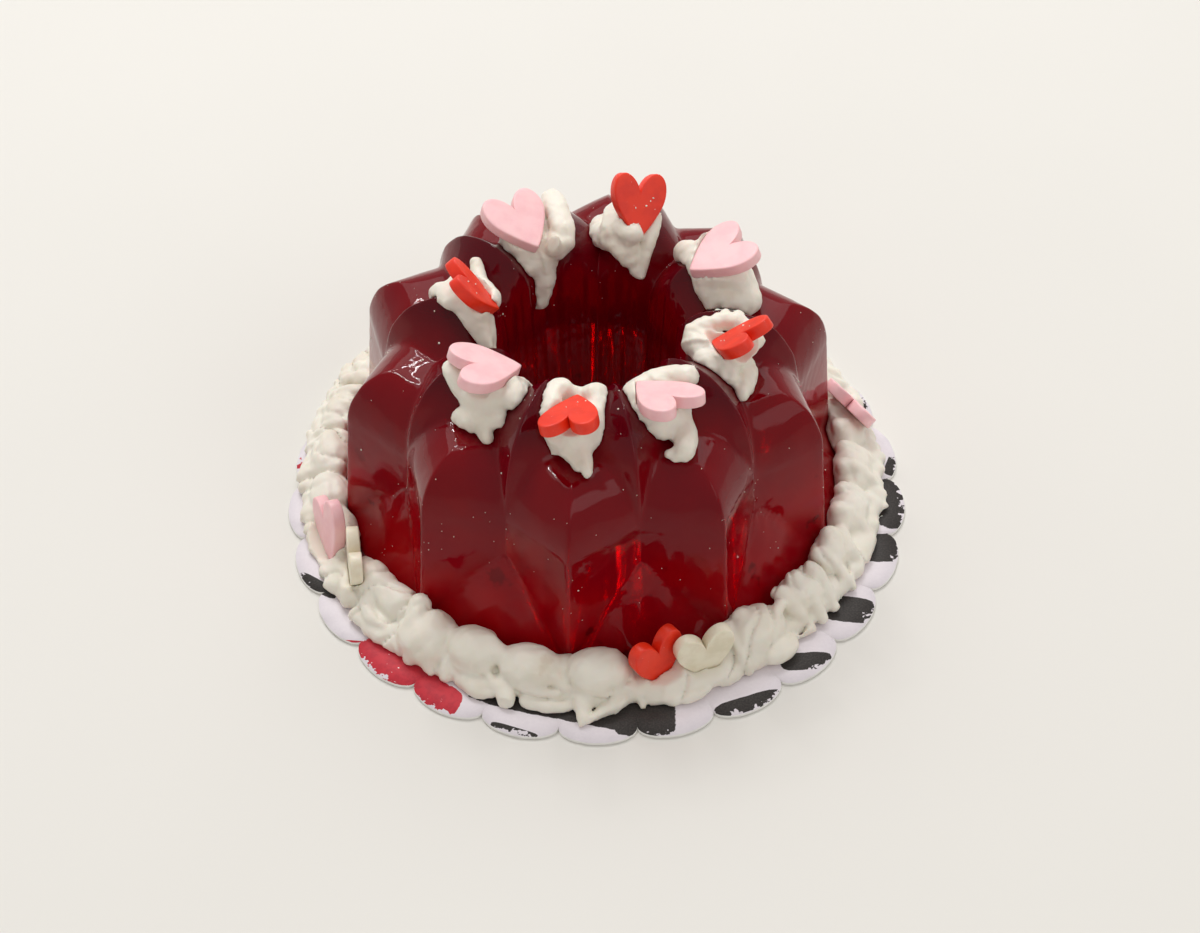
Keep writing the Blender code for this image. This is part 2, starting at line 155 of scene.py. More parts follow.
# %% [markdown]
# ## The jelly
#
# The mould is a decagon of wedges. Each of its ten big lobes has two flat sides that meet in
# an upright ridge, and a rounded shoulder. A smaller lobe rises in each valley and runs over
# the crown into the hole. At the foot a flared facet fills the valley.
#
# It could be joined from three solids, as the model underneath is, but then its edges would
# be knife sharp, and a casting's never are. So the same three shapes are worked out as
# curves in the half-plane at each azimuth, seen from a point inside the ring's wall. The
# surface is how far out the farthest of them is in each direction, with a soft maximum in
# place of a hard one, which rounds every inner corner by the same small amount.

# %% Sizes of the mould
low_corner, high_corner = (np.array(corner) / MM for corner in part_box("jelly"))
CENTRE = ((low_corner + high_corner) / 2)[:2]
FOOT = low_corner[2]
PHASE = -5.03  # azimuth of the front lobe, from the front towards +X
HALF = 18.0  # from a ridge to the next valley
LOBES = 10
FOOT_RADIUS = 20.65
SHOULDER = 11.5
SHOULDER_CURVE = (4.25, 5.05)
RIDGE_RADIUS, VALLEY_RADIUS = 19.77, 16.6
CREST = dict(ridge=16.5, valley=13.2, start=12.8, peak=(10.6, 20.15), dip=(10.4, 17.3))
HOLE_TOP, HOLE_FOOT = 6.95, 6.2
FLARE_TOP = (16.8, 8.7)
SIGHT = (12.4, 8.0)  # the point inside the wall that the directions start from
EDGE = 0.22  # how soft the inner corners are
print("jelly centre", CENTRE.round(2), "foot", round(float(FOOT), 2))


# %% The three shapes of the mould, as curves
def chord(near, far, turn):
    """Radius, at an angle from the near corner, of the straight line from a corner at radius
    near to the next at radius far, HALF degrees away."""
    turn, half = np.radians(turn), math.radians(HALF)
    return math.sin(half) / (np.sin(half - turn) / near + np.sin(turn) / far)


def lobe_curve(turn):
    """The big lobe at an angle from its ridge: up its side, over its shoulder and inwards."""
    side = np.linspace(0, 1, 12)[:-1]
    arc = np.radians(np.linspace(0, 90, 40))
    ridge = np.concatenate([FOOT_RADIUS + (RIDGE_RADIUS - FOOT_RADIUS) * side,
                            RIDGE_RADIUS - SHOULDER_CURVE[0] * (1 - np.cos(arc))])
    valley = np.concatenate([VALLEY_RADIUS + 1.1 * (1 - side),
                             VALLEY_RADIUS - 4.6 * (1 - np.cos(arc))])
    height = np.concatenate([FOOT + (SHOULDER - FOOT) * side,
                             SHOULDER + SHOULDER_CURVE[1] * np.sin(arc)])
    radius = chord(ridge, valley, turn)
    return np.append(radius, 9.0), np.append(height, height[-1])


def arch(start, peak, inner, drop, steps=60):
    """Up from start to the peak and down to the rim of the hole."""
    turn = np.linspace(0, math.pi, steps)
    rise = np.sin(turn).clip(0) ** 0.9
    outside = turn <= math.pi / 2
    bend = np.abs(np.cos(turn))
    radius = np.where(outside, peak[0] + (start[0] - peak[0]) * bend,
                      peak[0] - (peak[0] - inner) * bend**0.8)
    height = np.where(outside, start[1] + (peak[1] - start[1]) * rise, peak[1] - drop * (1 - rise))
    return radius, height


def crest_curve(turn):
    """The small lobe at an angle from its ridge: up its back, over the crown, down the hole."""
    ridge = arch((CREST["ridge"], CREST["start"]), CREST["peak"], HOLE_TOP, 3.4)
    dip = arch((CREST["valley"], 13.0), CREST["dip"], HOLE_TOP + 0.3, 2.9)
    share = ridge[0] * math.sin(math.radians(turn))
    share = share / (share + dip[0] * math.sin(math.radians(HALF - turn)))
    radius = chord(ridge[0], dip[0], turn)
    height = ridge[1] * (1 - share) + dip[1] * share
    foot = HOLE_FOOT + 0.3 * turn / HALF
    return np.concatenate([radius[:1], radius, [foot]]), np.concatenate([[FOOT], height, [FOOT]])


def flare_curve(turn):
    """The flared facet at an angle from the valley: a cone from a point up the valley to the
    round foot. Only the part of the cone that reaches so far round is returned."""
    share = np.linspace(1, 0.03, 60)
    apex, top = FLARE_TOP
    slant = apex * (1 - share) * math.sin(math.radians(turn)) / (FOOT_RADIUS * share)
    bearing = math.radians(turn) + np.arcsin(slant.clip(-1, 1))
    radius = (apex * (1 - share) + FOOT_RADIUS * share * np.cos(bearing)) / math.cos(math.radians(turn))
    there = bearing < math.radians(HALF) + 0.001
    there[0] = True
    height = top - (top - FOOT) * share
    return np.append(FOOT_RADIUS, radius[there]), np.append(FOOT - 1, height[there])


# %% The jelly's surface
def seen_from_inside(curve, directions, between=16):
    """How far the curve is from the sight point in each direction, 0 where it isn't. Points
    are added between its own, because a straight line isn't straight in these terms."""
    spot = np.arange((len(curve[0]) - 1) * between + 1) / between
    radius, height = (np.interp(spot, np.arange(len(line)), line) for line in curve)
    out, up = radius - SIGHT[0], height - SIGHT[1]
    angle = np.unwrap(np.arctan2(up, out))
    angle += 2 * math.pi * round((directions[0] - angle[0]) / (2 * math.pi))
    return np.interp(directions, angle, np.hypot(out, up), left=0, right=0)


def jelly_grid(columns_each, steps):
    """Rows go up the outside and down the hole, and columns go round."""
    spot = np.arange(columns_each) / columns_each * 2 - 1
    spot = HALF * (spot - 0.72 * np.sin(2 * math.pi * spot) / (2 * math.pi))
    corner = math.atan2(FOOT - SIGHT[1], FOOT_RADIUS - SIGHT[0])
    inner = math.atan2(FOOT - SIGHT[1], HOLE_FOOT + 0.2 - SIGHT[0]) + 2 * math.pi
    up_and_over = np.linspace(corner, inner, steps, endpoint=False)
    under = np.linspace(inner, corner + 2 * math.pi, 15)
    directions = np.concatenate([up_and_over, under[:-1]])
    reach = []
    for turn in spot:
        from_ridge = math.hypot(turn, 0.35)
        from_valley = HALF - min(from_ridge, HALF)
        from_valley = math.hypot(from_valley, 0.4)
        curves = (lobe_curve(min(from_ridge, HALF)), crest_curve(min(from_valley, HALF)),
                  flare_curve(from_valley))
        three = np.stack([seen_from_inside(curve, directions) for curve in curves])
        floor = (FOOT - SIGHT[1]) / np.minimum(np.sin(directions), -1e-6)
        soft = EDGE * np.log(np.exp((three - three.max(axis=0)) / EDGE).sum(axis=0)) + three.max(axis=0)
        reach.append(np.where(np.sin(directions) < 0, np.minimum(soft, floor), soft))
    reach = np.tile(np.array(reach).T, (1, LOBES))
    azimuth = (PHASE + np.concatenate([lobe * 2 * HALF + spot for lobe in range(LOBES)]))[None, :]
    azimuth = np.radians(azimuth)
    radius = SIGHT[0] + reach * np.cos(directions)[:, None]
    height = SIGHT[1] + reach * np.sin(directions)[:, None]
    hole = 1 / (1 + np.exp((radius - 7.6) / 0.25)) * (height > FOOT + 0.02)
    radius = radius + hole * 0.07 * np.sin(23 * azimuth + 0.13 * height)
    radius = radius + hole * 0.05 * np.sin(41 * azimuth + 1.0)
    points = np.stack([CENTRE[0] + radius * np.sin(azimuth), CENTRE[1] - radius * np.cos(azimuth),
                       height + 0 * azimuth], axis=-1)
    middle = np.array([*CENTRE, SIGHT[1]])
    outwards = points - middle
    outwards /= np.linalg.norm(outwards, axis=-1, keepdims=True)
    crown = 1 / (1 + np.exp(-(height - 12.5) / 0.8))
    uneven = (0.012 + 0.035 * crown) * wobble(points, 3.2, 1) + 0.012 * wobble(points, 1.1, 2)
    uneven = uneven * (height > FOOT + 0.02)
    return points + outwards * uneven[..., None]


jelly_points = jelly_grid(columns_each=44, steps=186)
jelly_faces = grid_faces(*jelly_points.shape[:2], close_rows=True)
jelly = make_piece("jelly_ring", jelly_points.reshape(-1, 3), jelly_faces, ["jelly"], "ruby_resin")


# %% [markdown]
# ## The card
#
# A disc punched from printed card. Its rim is a row of half ellipses, and the punch tears the
# paper's fibres a little, so the rim is uneven at the scale of a tenth of a millimetre. The
# top is slightly smaller than the middle of the edge, which catches the light.

# %% The card's sizes and mesh
low_corner, high_corner = (np.array(corner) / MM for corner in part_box("card"))
CARD_TOP = high_corner[2]
NOTCH_RADIUS, SCALLOP_DEPTH, SCALLOPS, NOTCH_PHASE = 24.05, 1.35, 25, -79.2


def card_outline(steps):
    """Azimuths and radii of the rim: notch radius plus a half ellipse for each scallop."""
    along = -np.cos(math.pi * np.arange(steps) / steps)
    radius = NOTCH_RADIUS + SCALLOP_DEPTH * np.sqrt(1 - along**2)
    turn = (np.arange(SCALLOPS)[:, None] + (along + 1) / 2) * 360 / SCALLOPS
    return np.radians(NOTCH_PHASE + turn).ravel(), np.tile(radius, SCALLOPS)


azimuth, rim = card_outline(24)
LEVELS = ((0.0, 0.02, 0.0), (1.0, 0.02, 0.0), (1.0, 0.0, 0.06), (1.0, 0.0, 0.22), (1.0, 0.03, 0.3))
rows = []
for share, inset, height in (*LEVELS, (0.93, 0, 0.3), (0.8, 0, 0.3), (0.4, 0, 0.3), (0, 0, 0.3)):
    radius = (rim - inset) * share
    row = np.stack([radius * np.sin(azimuth), -radius * np.cos(azimuth),
                    np.full_like(radius, height)], axis=-1)
    torn = 0.03 * wobble(row * [1, 1, 3], 0.5, 5) * (share == 1)
    row[:, :2] *= (1 + torn / rim)[:, None]
    rows.append(row)
card_stack = Stack()
card_stack.lump(np.stack(rows))
card = card_stack.piece("card_disc", ["card"], "card")


# %% [markdown]
# ## Heart slices
#
# The hearts are slices cut from long canes of polymer clay. The outline is a curve of an
# angle t: y is a sum of four cosines of t, 2t, 3t and 4t, and x is sin t to a power that falls
# from the notch to the tip, so that the notch is deep and the tip is blunt. The knife leaves
# flat faces with slightly rounded edges. Where each slice stands is read from its solid: the
# thinnest direction of its points is the way the face looks, and the point nearest to the
# middle is the notch.

# %% Hearts
HEART_SIZES = {"red": (4.55, 5.2), "pink": (5.2, 5.4), "ivory": (4.8, 4.9)}
HEART_WAVES = (13.5, -6.2, -2.4, -1.3)
SLICE = 1.0
COLOURS = {"heart_1": "red", "heart_2": "pink", "heart_3": "red", "heart_4": "pink", "heart_5": "red",
           "heart_6": "pink", "heart_7": "red", "heart_8": "pink", "border_heart_1": "red",
           "border_heart_2": "ivory", "border_heart_3": "pink", "border_heart_4": "ivory",
           "border_heart_5": "pink"}


def heart_outline(colour, steps):
    """Points from the notch round to the left, about the middle of the heart's height."""
    t = -2 * math.pi * np.arange(steps) / steps
    along = sum(wave * np.cos((number + 1) * t) for number, wave in enumerate(HEART_WAVES))
    across = np.sign(np.sin(t)) * np.abs(np.sin(t)) ** (2.1 + 0.5 * np.cos(t))
    width, length = HEART_SIZES[colour]
    along = (along - (along.max() + along.min()) / 2) * length / (along.max() - along.min())
    return across * width / 2, along


def heart_distance(across, along, colour):
    """About how far a place in the slice's plane is outside the outline."""
    x, y = heart_outline(colour, 360)
    pivot = y.min() + 0.42 * (y.max() - y.min())
    turn = np.unwrap(np.arctan2(y - pivot, x))[::-1]
    reach = np.hypot(x, y - pivot)[::-1]
    there = np.arctan2(along - pivot, across)
    edge = np.interp(there, turn, reach, period=2 * math.pi)
    return (np.hypot(across, along - pivot) - edge) * 0.85


def slice_axes(node):
    """The middle of the slice, its axes (across, towards the notch, out of its face) and its
    colour."""
    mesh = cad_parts[node].data
    points = np.empty(3 * len(mesh.vertices))
    mesh.vertices.foreach_get("co", points)
    points = np.unique((points.reshape(-1, 3) / MM).round(3), axis=0)
    normal = np.linalg.svd(points - points.mean(axis=0))[2][2]
    if normal[2] < 0:
        normal = -normal
    flat = points - points.mean(axis=0)
    flat = flat - np.outer(flat @ normal, normal)
    notch = flat[np.argmin(np.linalg.norm(flat, axis=1))]
    notch /= np.linalg.norm(notch)
    across = np.cross(notch, normal)
    middle = points.mean(axis=0)
    for axis in (across, notch, normal):
        reach = (points - middle) @ axis
        middle = middle + axis * (reach.max() + reach.min()) / 2
    return middle, across, notch, normal, COLOURS[node]


def heart_points(middle, across, notch, normal, colour, seed, steps=96):
    """The outline carried over the section of a slice with rounded edges, then in to its
    middle on both faces."""
    x, y = heart_outline(colour, steps)
    half = SLICE / 2
    section = [(0.0, -half), (0.5, -half), (0.9, -half), (0.965, -half + 0.01), (0.99, -half + 0.05),
               (1.0, -half + 0.13), (1.0, 0.0), (1.0, half - 0.13), (0.99, half - 0.05),
               (0.965, half - 0.01), (0.9, half), (0.5, half), (0.0, half)]
    level = -0.3
    rows = []
    for share, depth in section:
        plane = np.outer(x * share, across) + np.outer(level + (y - level) * share, notch)
        rows.append(middle + plane + depth * normal)
    grid = np.stack(rows)
    away = grid - middle
    dent = 0.02 * wobble(grid, 1.7, seed) + 0.008 * wobble(grid, 0.6, seed + 1)
    return grid + dent[..., None] * away / (np.linalg.norm(away, axis=-1, keepdims=True) + 1)


hearts = {}
for number, (node, colour) in enumerate(COLOURS.items()):
    stack = Stack()
    stack.lump(heart_points(*slice_axes(node), seed=400 + 5 * number))
    hearts[node] = stack.piece(f"slice_{node}", [node], f"{colour}_slice")


# %% [markdown]
# ## Cream
#
# The cream is a modelling paste squeezed from a small nozzle. Each shell is a few rounded
# folds with creases between them, and a lip that is torn where the nozzle left it. On the
# crown the paste is pressed out flat by its heart slice, with tails and horns.
#
# Separate balls pushed into each other look like balloons. So the paste is worked out as a
# distance field: a number at every point of a fine grid that is below 0 inside the paste.
# Rolls and mounds are then joined with a soft minimum, which fills the creases a little, as
# real paste does. The jelly, the card and the slices are carved away from it.

# %% Where the jelly's skin is
TABLE = 720
DIRECTIONS = np.unwrap(np.arctan2(jelly_points[:, 0, 2] - SIGHT[1], np.hypot(
    *(jelly_points[:, 0, :2] - CENTRE).T) - SIGHT[0]))
TURNS = np.unwrap(np.arctan2(jelly_points[40, :, 0] - CENTRE[0], -(jelly_points[40, :, 1] - CENTRE[1])))


def skin_table():
    """The distance from the sight point to the jelly's skin, in even steps of azimuth and of
    direction."""
    radius = np.linalg.norm(jelly_points[..., :2] - CENTRE, axis=-1)
    reach = np.hypot(radius - SIGHT[0], jelly_points[..., 2] - SIGHT[1])
    even = 2 * math.pi * np.arange(TABLE) / TABLE
    by_direction = np.stack([np.interp(even, DIRECTIONS, column, period=2 * math.pi)
                             for column in reach.T])
    return np.stack([np.interp(even, TURNS, row, period=2 * math.pi) for row in by_direction.T])


SKIN = skin_table()


def outside_jelly(points):
    """About how far points are outside the jelly, below 0 inside it."""
    x, y = points[..., 0] - CENTRE[0], points[..., 1] - CENTRE[1]
    out, up = np.hypot(x, y) - SIGHT[0], points[..., 2] - SIGHT[1]
    row = (np.arctan2(up, out) / (2 * math.pi) % 1) * TABLE
    column = (np.arctan2(x, -y) / (2 * math.pi) % 1) * TABLE
    row_0, column_0 = row.astype(int), column.astype(int)
    row_share, column_share = row - row_0, column - column_0
    row_0, column_0 = row_0 % TABLE, column_0 % TABLE
    row_1, column_1 = (row_0 + 1) % TABLE, (column_0 + 1) % TABLE
    near = SKIN[row_0, column_0] * (1 - column_share) + SKIN[row_0, column_1] * column_share
    far = SKIN[row_1, column_0] * (1 - column_share) + SKIN[row_1, column_1] * column_share
    return np.hypot(out, up) - near * (1 - row_share) - far * row_share


def crown_height(x, y):
    """The height of the crown's skin over a place."""
    heights = np.linspace(22, 13, 181)
    column = np.stack([np.full_like(heights, x), np.full_like(heights, y), heights], axis=-1)
    return heights[np.argmax(outside_jelly(column) < 0)]


# %% A field that paste is laid in
def smooth_noise(points, size, seed):
    return wobble(points, size, seed, waves=6)


class Paste:
    """A distance field in millimetres on a grid of points, of which only those near the
    outside of the jelly are worked out."""

    def __init__(self, grid, deepest, thickest):
        self.shape = grid.shape[:3]
        gap = outside_jelly(grid)
        self.kept = (gap > deepest) & (gap < thickest)
        self.points, self.gap = grid[self.kept], gap[self.kept]
        self.grid = grid
        step = 0.05
        shifts = [outside_jelly(self.points + step * axis) for axis in np.eye(3)]
        slope = (np.stack(shifts, axis=-1) - self.gap[:, None]) / step
        steepness = np.linalg.norm(slope, axis=-1).clip(0.5)
        self.gap = self.gap / steepness
        self.normal = slope / steepness[:, None]
        self.field = np.full(len(self.points), 3.0)

    def join(self, near, distance, soft):
        """Soft minimum: min(a, b) - h^2 k / 4, where h is how nearly equal they are."""
        was = self.field[near]
        close = (1 - np.abs(was - distance) / soft).clip(0)
        self.field[near] = np.minimum(was, distance) - close**2 * soft / 4

    def carve(self, distance):
        self.field = np.maximum(self.field, -distance)

    def around(self, path, margin):
        low, high = path.min(axis=0) - margin, path.max(axis=0) + margin
        return np.flatnonzero(((self.points > low) & (self.points < high)).all(axis=1))

    def roll(self, path, radii, flat=1.0, soft=0.2, ribs=0, rib_depth=0.0, twist=0.0, pieces=5):
        """A round cone along a quadratic curve. flat presses it towards the jelly's skin."""
        path, radii = np.asarray(path, float), np.asarray(radii, float)
        s = np.linspace(0, 1, pieces + 1)[:, None]
        weights = np.hstack([(1 - s) ** 2, 2 * s * (1 - s), s**2])
        curve, sizes = weights @ path, weights @ radii
        near = self.around(curve, radii.max() + 0.8)
        points, normal = self.points[near], self.normal[near]
        best = np.full(len(near), 9.0)
        for step in range(pieces):
            start, along = curve[step], curve[step + 1] - curve[step]
            share = (((points - start) @ along) / (along @ along)).clip(0, 1)
            away = points - start - share[:, None] * along
            up = (away * normal).sum(axis=1)
            size = sizes[step] + (sizes[step + 1] - sizes[step]) * share
            if ribs:
                side = away @ np.cross(along / np.linalg.norm(along), [0, 0, 1])
                turn = ribs * np.arctan2(up, side) + twist * (step + share)
                size = size * (1 + rib_depth * (np.abs(np.cos(turn / 2)) - 0.6))
            reach = np.sqrt(((away * away).sum(axis=1) + (flat**2 - 1) * up**2).clip(0))
            best = np.minimum(best, reach - size)
        self.join(near, best, soft)

    def mound(self, middle, half, azimuth, spin=0.0, lean=0.0, soft=0.25):
        """An ellipsoid with half sizes outwards, along and up."""
        middle = np.asarray(middle, float)
        near = self.around(middle[None], max(half) + 0.8)
        turn = math.radians(azimuth)
        away = self.points[near] - middle
        out = away[:, 0] * math.sin(turn) - away[:, 1] * math.cos(turn)
        along = away[:, 0] * math.cos(turn) + away[:, 1] * math.sin(turn)
        spin, lean = math.radians(spin), math.radians(lean)
        out, along = out * math.cos(spin) + along * math.sin(spin), along * math.cos(spin) - out * math.sin(spin)
        up = away[:, 2]
        out, up = out * math.cos(lean) - up * math.sin(lean), up * math.cos(lean) + out * math.sin(lean)
        local = np.stack([out, along, up], axis=-1)
        first = np.linalg.norm(local / half, axis=1)
        second = np.linalg.norm(local / np.square(half), axis=1) + 1e-6
        self.join(near, first * (first - 1) / second, soft)

    def bed(self, node, thick, spread=1.0, soft=0.5):
        """Paste straight under a slice, which holds it up: a round block that widens a
        little downwards."""
        middle, across, notch, normal, colour = slice_axes(node)
        near = self.around(middle[None], 5.0)
        away = self.points[near] - middle
        drop = -(away @ normal) / normal[2]
        above = away + np.outer(drop, [0, 0, 1])
        side, up = above @ across, above @ notch
        wide = spread * (1 + 0.08 * drop.clip(0))
        edge = (np.hypot(side / (1.7 * wide), (up + 0.35) / (1.9 * wide)) - 1) * 1.75
        distance = np.maximum(np.maximum(edge, -drop - 0.1), drop - thick)
        self.join(near, distance, soft)

    def skirt(self, radius, height, half, ragged, seed):
        """A low band all the way round, whose edge over the card is ragged."""
        here = self.points
        out = np.hypot(here[:, 0] - CENTRE[0], here[:, 1] - CENTRE[1]) - radius
        flat = here * [1, 1, 0]
        reach = half[0] + ragged * (smooth_noise(flat, 3.2, seed) + 0.6 * smooth_noise(flat, 1.1, seed + 1))
        distance = (np.hypot(out / reach, (here[:, 2] - height) / half[1]) - 1) * half[1]
        self.join(np.arange(len(here)), distance, 0.3)

    def roughen(self, ragged, seed):
        """Waves of three sizes, and a torn edge where the paste meets the jelly or the card."""
        here = self.points
        self.field += 0.06 * smooth_noise(here, 1.9, seed) + 0.028 * smooth_noise(here, 0.75, seed + 1)
        streak = np.abs(smooth_noise(here, 1.5, seed + 2))
        self.field += 0.05 * (1 - streak * 3).clip(0)
        edge = np.exp(-np.minimum(self.gap, here[:, 2] - CARD_TOP).clip(0) / 0.4)
        self.field += ragged * edge * smooth_noise(here, 0.9, seed + 3)

    def fold_lines(self, depth, spacing, lean, seed):
        """Creases between the folds of piped paste, which lean round as they run outwards."""
        x, y = (self.points[:, :2] - CENTRE).T
        along, out = 22 * np.arctan2(x, -y), np.hypot(x, y) - 21.5
        swirl = along + lean * out + 1.3 * smooth_noise(self.points, 5.0, seed)
        crease = (1 - np.abs(np.sin(math.pi * swirl / spacing))) ** 4
        front = np.exp(-(((along + 5) / 9) ** 4))
        side = np.exp(-(((along - 34) / 11) ** 4))
        strength = (0.6 + 0.5 * smooth_noise(self.points, 6.0, seed + 1)) * (1 - 0.65 * front - 0.55 * side)
        self.field += depth * crease * strength.clip(0, 1.2)

    def clear_slice(self, node, cover=None):
        """Carves the room of a slice. With cover, paste lies over the part of its face that is
        nearer to the tip than that."""
        middle, across, notch, normal, colour = slice_axes(node)
        away = self.points - middle
        side, up, depth = away @ across, away @ notch, away @ normal
        edge = heart_distance(side, up, colour) - 0.03
        behind = -(depth + SLICE / 2 + 0.02)
        slab = np.maximum(np.maximum(edge, behind), depth - SLICE / 2 - 0.02)
        over = np.maximum(edge, behind)
        if cover is not None:
            over = np.maximum(over, cover - up)
        self.carve(np.minimum(slab, over))

    def skin(self, ring=False):
        """The field's surface as points and quads: one point in each cell that the surface
        crosses, at the mean of the crossings of the cell's edges, and one quad across each
        grid edge that it crosses. The first axis of a ring closes on itself, and its other
        two make it left-handed."""
        field = np.full(self.shape, 1.0)
        self.field = np.maximum(self.field, 0.03 - self.gap)
        self.field = np.maximum(self.field, CARD_TOP + 0.02 - self.points[:, 2])
        field[self.kept] = self.field.clip(-1, 1)
        field[:, [0, -1]] = field[:, :, [0, -1]] = 1
        if not ring:
            field[[0, -1]] = 1
        grid = self.grid
        if ring:
            field, grid = np.concatenate([field, field[:1]]), np.concatenate([grid, grid[:1]])
        inside = field < 0
        rows, columns, layers = (size - 1 for size in inside.shape)
        cells = np.stack([inside[a:a + rows, b:b + columns, c:c + layers]
                          for a in (0, 1) for b in (0, 1) for c in (0, 1)]).sum(axis=0)
        crossed = np.argwhere((cells > 0) & (cells < 8))
        number = np.full(cells.shape, -1)
        number[tuple(crossed.T)] = np.arange(len(crossed))
        total, count = np.zeros((len(crossed), 3)), np.zeros(len(crossed))
        axes = np.eye(3, dtype=int)
        for axis in axes:
            others = [other for other in axes if not other @ axis]
            for shift in (0 * axis, others[0], others[1], others[0] + others[1]):
                start, end = crossed + shift, crossed + shift + axis
                first, second = field[tuple(start.T)], field[tuple(end.T)]
                cut = (first < 0) != (second < 0)
                share = np.where(cut, first / np.where(cut, first - second, 1), 0)[:, None]
                place = grid[tuple(start.T)] * (1 - share) + grid[tuple(end.T)] * share
                total += place * cut[:, None]
                count += cut
        points = total / count[:, None]
        faces = []
        for turn, axis in enumerate(axes):
            one, two = axes[(turn + 1) % 3], axes[(turn + 2) % 3]
            size = np.array(inside.shape) - axis
            ahead = tuple(slice(a, a + s) for a, s in zip(axis, size))
            behind = tuple(slice(0, s) for s in size)
            edges = np.argwhere(inside[ahead] != inside[behind])
            edges = edges[edges[:, 0] < rows] if ring else edges
            leaving = inside[tuple(edges.T)]
            corners = [(edges - shift) % [rows, columns, layers] for shift in (one + two, two, 0 * axis, one)]
            quads = np.stack([number[tuple(corner.T)] for corner in corners], axis=-1)
            quads[~leaving] = quads[~leaving][:, ::-1]
            faces.append(quads)
        faces = np.vstack(faces)
        return relax(points, faces), faces[:, ::-1] if ring else faces


def relax(points, faces, share=0.5, times=2):
    """Moves each point part of the way to the mean of its neighbours."""
    pairs = np.vstack([faces[:, [i, (i + 1) % 4]] for i in range(4)])
    pairs = np.vstack([pairs, pairs[:, ::-1]])
    count = np.bincount(pairs[:, 0], minlength=len(points))[:, None]
    for _ in range(times):
        mean = np.stack([np.bincount(pairs[:, 0], weights=points[pairs[:, 1], axis], minlength=len(points))
                         for axis in range(3)], axis=-1) / count
        points = points + share * (mean - points)
    return points


def ring_place(azimuth, radius, height):
    turn = math.radians(azimuth)
    return [CENTRE[0] + radius * math.sin(turn), CENTRE[1] - radius * math.cos(turn), height]


# %% [markdown]
# ## The piped border
#
# The field of the border is a ring of cells: even steps of azimuth, radius and height. The
# shells at the front are each a little different, so they are listed one by one. The rest follow
# a rule with a few random numbers.

# %% The border's field
turns = 2 * math.pi * np.arange(790) / 790
radii = np.arange(16.6, 26.9, 0.162)
heights = np.arange(0.15, 5.6, 0.162)
turns, radii, heights = np.meshgrid(turns, radii, heights, indexing="ij")
ring_grid = np.stack([CENTRE[0] + radii * np.sin(turns), CENTRE[1] - radii * np.cos(turns), heights], axis=-1)
border = Paste(ring_grid, -0.3, 7.5)
print("border field:", len(border.points), "points of", radii.size)

# azimuth, radius, height of the middle, half sizes outwards, along and up
MOUNDS = (
    (-53, 21.5, 1.8, (1.6, 3.0, 1.9)),
    (-45.5, 21.4, 1.8, (1.5, 2.4, 1.8)),
    (-35, 22.2, 1.5, (2.4, 2.7, 2.2)),
    (-24.5, 21.9, 2.4, (1.9, 2.3, 1.7)),
    (-21.8, 23.6, 0.9, (1.3, 1.8, 0.9)),
    (-12.5, 22.1, 2.3, (1.9, 2.6, 1.6)),
    (-5.5, 21.9, 1.5, (1.7, 2.3, 1.4)),
    (1.2, 22.2, 2.4, (2.0, 2.6, 1.8)),
    (17, 22.2, 0.9, (2.4, 4.8, 1.3)),
    (35, 21.9, 1.7, (2.2, 2.9, 2.1)),
    (37, 24.0, 1.1, (1.3, 2.0, 1.0)),
    (49.5, 21.7, 1.6, (1.8, 2.7, 1.9)),
    (63, 21.6, 1.6, (1.7, 2.6, 1.9)),
    (75, 21.6, 1.5, (1.7, 2.7, 1.8)),
    (87.5, 21.5, 1.5, (1.7, 2.9, 1.8)),
    (100, 21.5, 1.5, (1.7, 2.9, 1.8)),
    (-71, 21.9, 1.5, (1.9, 3.2, 1.7)),
    (-81, 21.6, 1.6, (1.8, 2.6, 1.8)),
    (-92, 21.5, 1.7, (1.9, 3.0, 2.0)),
    (-105, 21.5, 1.6, (1.8, 2.8, 1.9)),
)
border.skirt(22.7, 0.8, (1.55, 1.05), 0.3, seed=70)
for azimuth, radius, height, half in MOUNDS:
    border.mound(ring_place(azimuth, radius, height), half, azimuth, soft=0.1)

